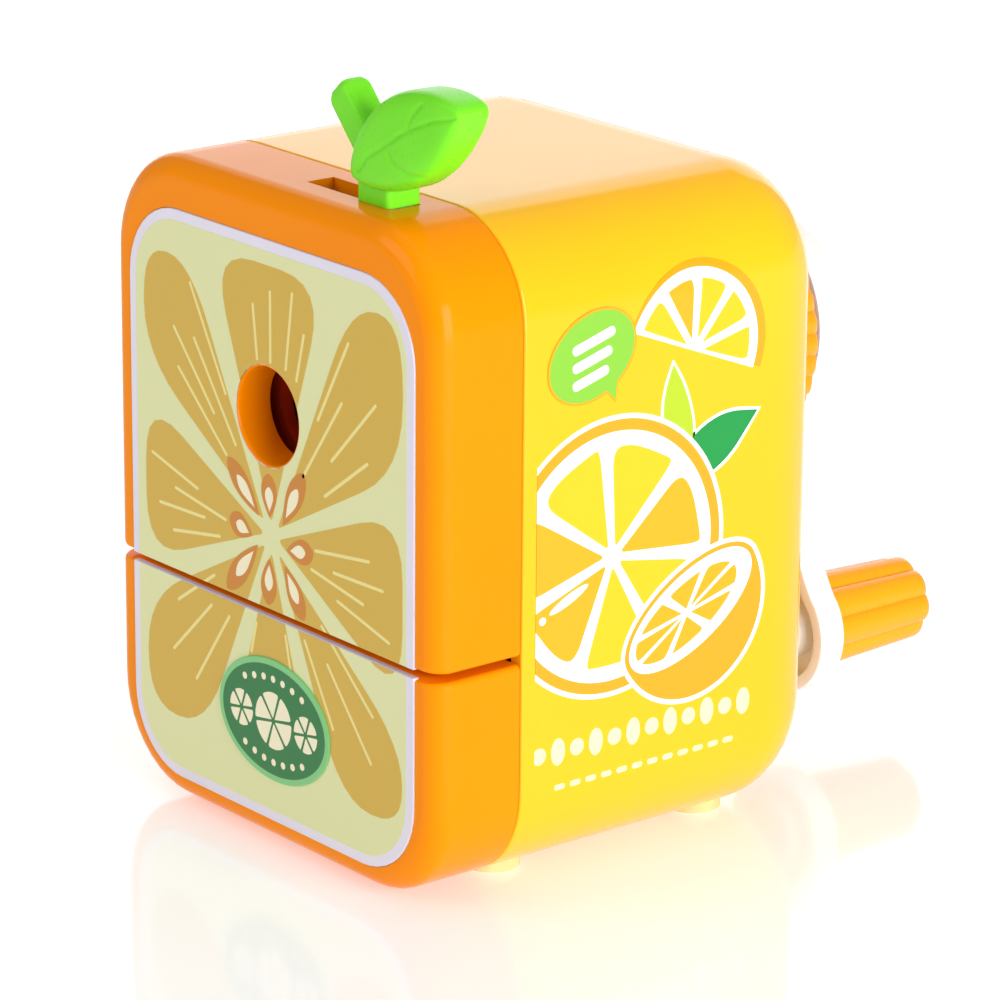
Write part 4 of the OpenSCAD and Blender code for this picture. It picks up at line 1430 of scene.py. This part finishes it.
@dataclass
class Studio:
    """A pale floor, soft lights and the camera.

    Attributes:
        azimuth: The camera's turn round the object in degrees.
        elevation: Its height in degrees.
        roll: Its roll in degrees.
        distance: Its distance from the target in metres.
        target: What it looks at.
        lens: Focal length in mm.
    """

    azimuth: float = 50.81
    elevation: float = 17.54
    roll: float = 0.48
    distance: float = 0.55778
    target: Spot = (0.04206, -0.04758, 0.05441)
    lens: float = 180.0

    def camera(self) -> None:
        """Sets the camera at its angle round the object."""
        a, e = math.radians(self.azimuth), math.radians(self.elevation)
        back = Vector((math.sin(a) * math.cos(e), -math.cos(a) * math.cos(e), math.sin(e)))
        data = bpy.data.cameras.new("camera")
        data.lens = self.lens
        data.clip_start, data.clip_end = 0.01, 20
        camera = bpy.data.objects.new("camera", data)
        turn = back.to_track_quat("Z", "Y").to_matrix().to_4x4()
        roll = Matrix.Rotation(math.radians(self.roll), 4, "Z")
        camera.matrix_world = Matrix.Translation(Vector(self.target) + back * self.distance) @ turn @ roll
        bpy.context.scene.collection.objects.link(camera)
        bpy.context.scene.camera = camera

    def panel(self, name: str, size: Point, energy: float, spot: Spot, aim: Spot) -> None:
        """Hangs one soft light.

        Args:
            name: Its name.
            size: Its width and height in metres.
            energy: Its power in watts.
            spot: Where it hangs.
            aim: What it faces.
        """
        data = bpy.data.lights.new(name, "AREA")
        data.shape = "RECTANGLE"
        data.size, data.size_y = size
        data.energy = energy
        light = bpy.data.objects.new(name, data)
        light.location = spot
        light.rotation_euler = (Vector(aim) - Vector(spot)).to_track_quat("-Z", "Y").to_euler()
        light.visible_camera = False
        bpy.context.scene.collection.objects.link(light)

    def lights(self) -> None:
        """Hangs the lights and sets the room's own light."""
        world = bpy.data.worlds.new("room")
        world.use_nodes = True
        room = world.node_tree.nodes["Background"].inputs
        room["Color"].default_value = (1, 1, 1, 1)
        room["Strength"].default_value = 0.4
        bpy.context.scene.world = world
        middle = (0.0, 0.0, 0.05)
        for name, size, energy, spot in (("overhead", (1.2, 1.2), 1.6, (0.0, 0.0, 1.25)),
                                         ("right_key", (0.8, 0.6), 12, (0.98, -0.06, 0.2)),
                                         ("front_fill", (0.7, 0.7), 3.6, (-0.5, -1.1, 0.6)),
                                         ("backdrop_panel", (1.6, 1.2), 8, (-1.15, 0.95, 0.62))):
            self.panel(name, size, energy, spot, middle)

    def floor(self) -> None:
        """Lays a pale, slightly glossy floor."""
        mesh = bmesh.new()
        bmesh.ops.create_grid(mesh, x_segments=8, y_segments=8, size=3.0)
        data = bpy.data.meshes.new("pale_floor")
        mesh.to_mesh(data)
        mesh.free()
        floor = bpy.data.objects.new("pale_floor", data)
        bpy.context.scene.collection.objects.link(floor)
        # Opal acrylic sheet, cast and lit from below: white all over, with a faint soft reflection.
        sheet = Finish("opal_acrylic_sheet_cast", "#E0E0E0", "#DEDEDE", roughness=0.1, ior=1.45,
                       relief_mm=0.002, grain_mm=4, cloud_mm=400, lit=0.36)
        data.materials.append(sheet.material())

    def set_up(self) -> None:
        """Sets up the whole studio with plain colour, so that the pale surroundings go to white."""
        bpy.context.scene.view_settings.view_transform = "Standard"
        self.floor()
        self.lights()
        self.camera()


def main() -> None:
    """Builds every piece in order."""
    shells, panels, crank = Shells(), FacePanels(), Crank()
    shells.housing()
    shells.cover(panels)
    shells.drawer(panels)
    panels.plate(0)
    panels.plate(1)
    panels.prints()
    panels.badge()
    SidePrints().make()
    Leaf().make()
    crank.arm()
    crank.knob()
    crank.grip()
    crank.cap()
    for side, x in (("left", -24.0), ("right", 24.0)):
        Spring(f"{side}_feed_coil", f"feed_spring_{side}", "housing", "feed_pull", (x, 20.0, 54.4),
               (0, 1, 0), 33.0, 2.5, 0.35, 12, 0.282).make()
    Spring("clamp_coil", "clamp_spring", "carriage", "clamp_lever", (-18.9, 8.0, 77.4), (1, 0, 0),
           15.4, 1.4, 0.25, 9, 0.342).make()
    dress_nodes()
    Studio().set_up()
    bpy.context.view_layer.update()


if __name__ == "__main__":
    main()
